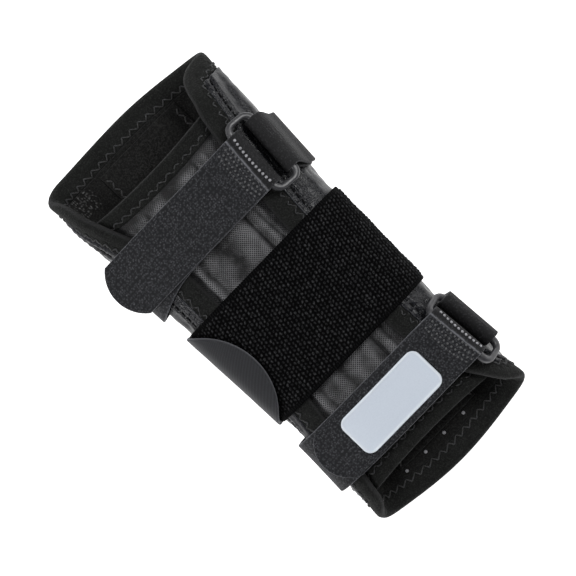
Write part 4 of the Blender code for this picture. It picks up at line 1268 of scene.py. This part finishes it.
def surface_of(grid, probe):
    """A function of millimetres along and across a grid, and lift, for stitches on it."""
    n, _ = outward(grid, False, probe)
    along = run_lengths(grid, 0)[:, grid.shape[1] // 2]
    across = run_lengths(grid, 1)[grid.shape[0] // 3]

    def surface(a, b, lift):
        i = np.interp(a, along, np.arange(len(along)))
        j = np.interp(b, across, np.arange(len(across)))
        i0, j0 = np.clip(i.astype(int), 0, len(along) - 2), np.clip(j.astype(int), 0,
                len(across) - 2)
        fi, fj = (i - i0)[..., None], (j - j0)[..., None]

        def pick(v):
            return ((v[i0, j0] * (1 - fj) + v[i0, j0 + 1] * fj) * (1 - fi)
                    + (v[i0 + 1, j0] * (1 - fj) + v[i0 + 1, j0 + 1] * fj) * fi)
        return pick(grid) + pick(n) * np.asarray(lift)[..., None]
    return surface


def make_strap(prefix, spec, seat):
    ys = spec["y"] + STRAP_WIDTH * strap_rows(STRAP_WIDTH)
    grid = grid_of_routes(lambda y: tab_route(spec, seat, y), ys, spread(100, 0.5))
    probe = (0.6, 0.5)
    s = run_lengths(grid, 0)
    ring_edge = (FOLD_END - FOLD_START) / 180 * math.pi * (FOLD_RADIUS - TAB / 2)
    sewn = ring_edge + spec["sewn"]
    # A light line across the tab where its surface steps up past the stitch column: painted edge
    # highlight and a worn edge.
    cut = hump(s, sewn + 2.2, 0.35)
    tab = sheet(prefix + "_strap_tab_web", grid, TAB, WEB, (0.5, 0.5, 0.5, 0.5),
                over=0.07 * ripple(s, grid[..., 1], 11,
                                   91) + 0.16 * smooth((s - sewn - 1.6) / 0.5) - 0.16,
                probe=probe, edge=0.8 * cut)
    tab.data.materials.append(FOLD_WEB)
    reach = np.zeros(len(tab.data.vertices) * 3, np.float32)
    tab.data.attributes["weave"].data.foreach_get("vector", reach)
    first = np.array([f.vertices[0] for f in tab.data.polygons])
    tab.data.polygons.foreach_set("material_index",
                                  (reach[first * 3] < sewn + 1.8).astype(np.int32))
    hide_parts(prefix + "_strap_tab")
    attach(tab, prefix + "_strap")
    surface = surface_of(grid, probe)
    columns = sewn + np.array([0.0, 3.2, 5.1, 7.0, 8.9])
    a, b = [], []
    for k, column in enumerate(columns):
        across = np.arange(1.6 + (STRAP_DOT / 2 if k % 2 == 0 else 0), STRAP_WIDTH - 1,
                           STRAP_DOT)
        a += [column] * len(across)
        b += list(across)
    a, b = np.array(a), np.array(b)
    spots = surface(a, b, np.full(len(a), TAB / 2))
    ups = surface(a, b, np.full(len(a), TAB / 2 + 1)) - spots
    bright = a < columns[0] + 0.1
    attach(beads(prefix + "_strap_stitch_dots", spots[bright], ups[bright], 0.62, 0.42,
                  PALE_THREAD), prefix + "_strap")
    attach(beads(prefix + "_strap_knit_dots", spots[~bright], ups[~bright], 0.5, 0.24,
                  TIP_THREAD), prefix + "_strap")

    tape_ys = spec["y"] + (STRAP_WIDTH - 2 * HOOK_INSET) * strap_rows(STRAP_WIDTH - 2 * HOOK_INSET)
    tape = grid_of_routes(lambda y: tab_route(spec, seat, y, HOOK_INSET), tape_ys,
                          mix(0.42, 1.0, spread(55, 0.6)))
    tape = offset_grid(tape, -(TAB + HOOK_TAPE) / 2 - 0.05, probe)
    hooks = sheet(prefix + "_strap_hooks", tape, HOOK_TAPE, HOOKS, (0.3,) * 4, probe=probe)
    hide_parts(prefix + "_hook_tape")
    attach(hooks, prefix + "_strap")


def base_route(spec, seat, y):
    """Middle line of a strap's base, from the back, round the left side, to under the ring."""
    start = seat.around(-1, y, FOLD_START, FOLD_RADIUS - TAB / 2)
    leave = float(front_distance(y, start[0] - 11.0)) - 2 * float(mark(y, 3))
    first = float(station_distance(y, -STRAP_BACK_END))
    s = np.linspace(first, leave, 260)
    marks = [float(mark(y, k)) for k in range(4)]
    station = -np.interp(-s, marks + [2 * marks[3]], [0, 1, 2, 3, 6])
    lift = FIRST_LAYER + spec["side_bulge"] * hump(station, *SIDE_BULGE)
    fade = np.where(station < SIDE_SKEW[0], hump(station, SIDE_SKEW[0], 0.32),
                    hump(station, *SIDE_SKEW))
    shifted = y + spec["skew"] * fade
    laid = skin(shifted, s * mark(shifted, 3) / marks[3], lift)
    way = outline_way(y, leave) * -1
    rise = hermite(laid[-1], way, start, seat.tangent(FOLD_START), 14)
    return np.vstack([laid, rise, start[None]])


def make_base(prefix, spec, seat):
    ys = spec["y"] + STRAP_WIDTH * strap_rows(STRAP_WIDTH)
    grid = grid_of_routes(lambda y: base_route(spec, seat, y), ys, spread(150, 0.6))
    made = sheet(prefix + "_strap_base_web", grid, WEBBING - 0.1, WEB, (0.5, 0.5, 0.5, 0.5),
                 over=0.06 * ripple(run_lengths(grid, 0), grid[..., 1], 12, 95), probe=(0.7, 0.5))
    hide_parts(prefix + "_strap_base")
    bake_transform(made)


def anchor_route(spec, seat, y):
    """Middle line of the webbing from the back, up the right side and round the outer bar."""
    radius = LOOP_RADIUS - WEBBING / 2
    loop = np.array([seat.around(1, y, a, radius) for a in np.linspace(-90, -270, 24)])
    bar = seat.around(1, y, 0, 0)
    under = float(front_distance(y, bar[0] - RING_LIFT * math.sin(seat.slope))) - LOOP_APPROACH
    wide = spec["anchor_bulge"] * (y - spec["y"]) / STRAP_WIDTH * 2 + abs(spec["anchor_bulge"])
    marks = [float(mark(y, k)) for k in range(4)]

    def laid(s, layer):
        station = np.interp(s, marks, [0, 1, 2, 3])
        shifted = (y - spec["anchor_skew"] * smooth((2.55 - station) / 0.5)
                   * smooth((station - 1) / 0.6))
        return skin(shifted, s * mark(shifted, 3) / marks[3],
                    layer + wide * hump(station, *ANCHOR_BULGE))
    first = float(station_distance(y, STRAP_BACK_END))
    base = laid(np.linspace(first, under, 60), FIRST_LAYER)
    rise = hermite(base[-1], outline_way(y, under), loop[0], -seat.tangent(-90), 6)
    tail = laid(np.linspace(under - 1.0, under - 1.0 - ANCHOR_TAIL, 16),
                FIRST_LAYER + WEBBING + 0.15)
    fall = hermite(loop[-1], -seat.tangent(90), tail[0], -outline_way(y, under - 1.0), 6)
    return np.vstack([base, rise, loop, fall, tail])


def make_anchor(prefix, spec, seat):
    ys = spec["y"] + STRAP_WIDTH * strap_rows(STRAP_WIDTH)
    grid = grid_of_routes(lambda y: anchor_route(spec, seat, y), ys, spread(72, 0.45))
    made = sheet(prefix + "_ring_anchor_web", grid, WEBBING - 0.1, ANCHOR_WEB, (0.5, 0.5, 0.5, 0.5),
                 probe=(0.3, 0.5))
    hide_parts(prefix + "_ring_anchor")
    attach(made, "sleeve")
    surface = surface_of(grid, (0.3, 0.5))
    total = float(run_lengths(grid, 0)[-1, grid.shape[1] // 2])

    def turned(along, across, lift):
        return surface(across, along, lift)
    holes = np.arange(2, STRAP_WIDTH - 1.5, 2.4)
    rows = np.concatenate([running(turned, holes, total - k, WEBBING / 2 - 0.05,
                                   0.3) for k in (2.2, 5.2)])
    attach(threads(prefix + "_anchor_stitches", rows, 0.22, THREAD), "sleeve")


def make_ring(prefix, seat):
    """A moulded ring: a softly squared bar swept round a rounded rectangle."""
    half_w, half_l = RING_SPACING / 2, (RING_LOOK_LENGTH - END_WIRE) / 2
    path, normal = [], []
    for quarter in range(4):
        sx = 1 if quarter in (0, 3) else -1
        sy = 1 if quarter in (0, 1) else -1
        for k in range(13):
            turn = math.pi / 2 * (quarter + k / 12)
            path.append((sx * (half_w - RING_CORNER) + RING_CORNER * math.cos(turn),
                         sy * (half_l - RING_CORNER) + RING_CORNER * math.sin(turn)))
            normal.append((math.cos(turn), math.sin(turn)))
    path, normal = np.array(path), np.array(normal)
    turn = np.linspace(0, math.tau, 24, endpoint=False)
    c, s = np.cos(turn), np.sin(turn)
    wire = mix(RING_WIRE, END_WIRE, np.abs(normal[:, 1:]) ** 2)
    wide = wire / 2 * np.sign(c) * np.abs(c) ** 0.75
    tall = wire / 2 * 0.94 * np.sign(s) * np.abs(s) ** 0.75
    across = np.cross(seat.bar, seat.up)
    x = path[:, None, 0] + wide * normal[:, None, 0] - half_w
    y = path[:, None, 1] + wide * normal[:, None, 1] - 0.6
    points = (seat.outer + x[..., None] * across + y[..., None] * seat.bar + tall[...,
            None] * seat.up)
    index = np.arange(points.shape[0] * 24).reshape(-1, 24)
    nxt, side = np.roll(index, -1, 0), np.roll(index, -1, 1)
    faces = np.stack([index, nxt, np.roll(nxt, -1, 1), side], -1).reshape(-1, 4)
    made = add_mesh(prefix + "_ring_moulding", points.reshape(-1, 3), faces, PLASTIC)
    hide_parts(prefix + "_ring")
    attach(made, prefix + "_ring")


def corner_trim(across, width, radius):
    reach = np.clip(np.abs(across) - (width / 2 - radius), 0, radius)
    return radius - np.sqrt(np.maximum(radius ** 2 - reach ** 2, 0))


def make_label():
    width, length = LABEL_SIZE
    rows = 0.5 * np.sin(math.pi * np.linspace(-0.5, 0.5, 61))
    grid_u, grid_v = np.meshgrid(spread(width, 0.45, 0.8) - 0.5, rows, indexing="ij")
    across = length * grid_v
    x = LABEL_X + (width - 2 * corner_trim(across, length, LABEL_CORNER)) * grid_u
    y = LABEL_Y + across
    lift = TAB_LAYER + TAB / 2 + 0.08 + LABEL / 2
    grid = skin(y, front_distance(y, x), lift)
    edge = np.minimum(length / 2 - np.abs(across),
                      (width / 2 - corner_trim(across, length,
                                               LABEL_CORNER)) * (1 - 2 * np.abs(grid_u)))
    rim = hump(edge, 0.55, 0.4)
    made = sheet("label_patch_moulding", grid, LABEL, RUBBER, (0.4,) * 4, over=0.22 * rim, mask=rim)
    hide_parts("label_patch")
    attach(made, "lower_strap")


def make_stay():
    rows = 0.5 * np.sin(math.pi * np.linspace(-0.5, 0.5, 61))
    grid_u, grid_v = np.meshgrid(spread(STAY_LENGTH, 1.5, 0.8) - 0.5, rows, indexing="ij")
    across = STAY_WIDTH * grid_v
    y = STAY_CENTRE_Y + (STAY_LENGTH - 2 * corner_trim(across, STAY_WIDTH,
                                                       0.45 * STAY_WIDTH)) * grid_u
    grid = np.stack([across, y, np.full_like(y, STAY_Z)], -1)
    made = sheet("palm_stay_plate", grid, STAY_THICKNESS, METAL, (0.5,) * 4)
    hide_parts("palm_stay")
    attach(made, "palm_stay")


# ---- floor, lights and camera ------------------------------------------------------------

FLOOR_DROP, FLOOR_SIZE = 0.0005, 6.0                         # metres
WALL_RADIUS, WALL_HEIGHT, WALL_SIDES = 5.9, 0.9, 48          # pale ring, for low views
WORLD_STRENGTH, SIDE_WATTS, TOP_WATTS = 0.07, 3.7, 2.0

def make_stage():
    floor_z = CAD_LOW.z - FLOOR_DROP
    data = bpy.data.meshes.new("studio_floor")
    size = FLOOR_SIZE
    data.from_pydata([(-size, -size, floor_z), (size, -size, floor_z), (size, size, floor_z),
                      (-size, size, floor_z)], [], [(0, 1, 2, 3)])
    floor = bpy.data.objects.new("studio_floor", data)
    bpy.context.scene.collection.objects.link(floor)
    f = Finish("studio_white", (0.92, 0.92, 0.92), 0.9)
    f.bsdf.inputs["Emission Color"].default_value = (1, 1, 1, 1)
    f.bsdf.inputs["Emission Strength"].default_value = 1.0
    data.materials.append(f.material)
    n = WALL_SIDES
    around = [(WALL_RADIUS * math.cos(a), WALL_RADIUS * math.sin(a))
              for a in np.arange(n) * math.tau / n]
    wall_data = bpy.data.meshes.new("studio_wall")
    wall_data.from_pydata([(x, y, z) for z in (floor_z, floor_z + WALL_HEIGHT)
                           for x, y in around], [],
                          [(k, (k + 1) % n, n + (k + 1) % n, n + k) for k in range(n)])
    wall_data.materials.append(f.material)
    wall = bpy.data.objects.new("studio_wall", wall_data)
    bpy.context.scene.collection.objects.link(wall)


def area_light(name, place, aim, size, watts):
    data = bpy.data.lights.new(name, "AREA")
    data.shape = "RECTANGLE"
    data.size, data.size_y = size
    data.energy = watts
    made = bpy.data.objects.new(name, data)
    made.location = place
    direction = np.array(aim, float) - np.array(place, float)
    made.rotation_mode = "QUATERNION"
    made.rotation_quaternion = Vector(direction).to_track_quat("-Z", "Y")
    bpy.context.scene.collection.objects.link(made)


def make_studio():
    world = bpy.data.worlds.new("studio")
    world.use_nodes = True
    background = world.node_tree.nodes["Background"]
    background.inputs["Color"].default_value = (1, 1, 1, 1)
    background.inputs["Strength"].default_value = WORLD_STRENGTH
    bpy.context.scene.world = world
    area_light("left_softbox", (-0.60, 0.12, 0.74), (0, 0, 0.02), (0.34, 0.34), SIDE_WATTS)
    area_light("right_softbox", (0.60, 0.05, 0.74), (0, 0, 0.02), (0.34, 0.34), SIDE_WATTS)
    area_light("top_softbox", (0.1, 0.6, 1.0), (0, 0, 0), (0.6, 0.6), TOP_WATTS)
    scene = bpy.context.scene
    scene.view_settings.view_transform = "Standard"
    scene.view_settings.look = "None"


def make_camera():
    data = bpy.data.cameras.new("camera")
    data.lens, data.sensor_width = 149.0, 36.0
    camera = bpy.data.objects.new("camera", data)
    right, up = np.array([0.696, -0.718, 0.0]), np.array([0.718, 0.696, 0.0])
    place = np.array([ORIGIN[0], ORIGIN[1], 0.968]) - 0.0002 * right - 0.0004 * up
    matrix = Matrix.Identity(4)
    for k in range(3):
        matrix[k][0], matrix[k][1], matrix[k][2], matrix[k][3] = right[k], up[k], (0, 0,
                1)[k], place[k]
    camera.matrix_world = matrix
    bpy.context.scene.collection.objects.link(camera)
    bpy.context.scene.camera = camera


make_border()
make_border_seams()
for side in (-1, 1):
    make_leather(side)
make_back()
make_lining()
make_grip_dots()
make_pocket()
make_mesh_front()
make_band()
make_mid_tab()
for prefix, spec in (("upper", UPPER), ("lower", LOWER)):
    seat = RingSeat(spec)
    make_strap(prefix, spec, seat)
    make_base(prefix, spec, seat)
    make_anchor(prefix, spec, seat)
    make_ring(prefix, seat)
make_label()
make_stay()
make_stage()
make_studio()
make_camera()
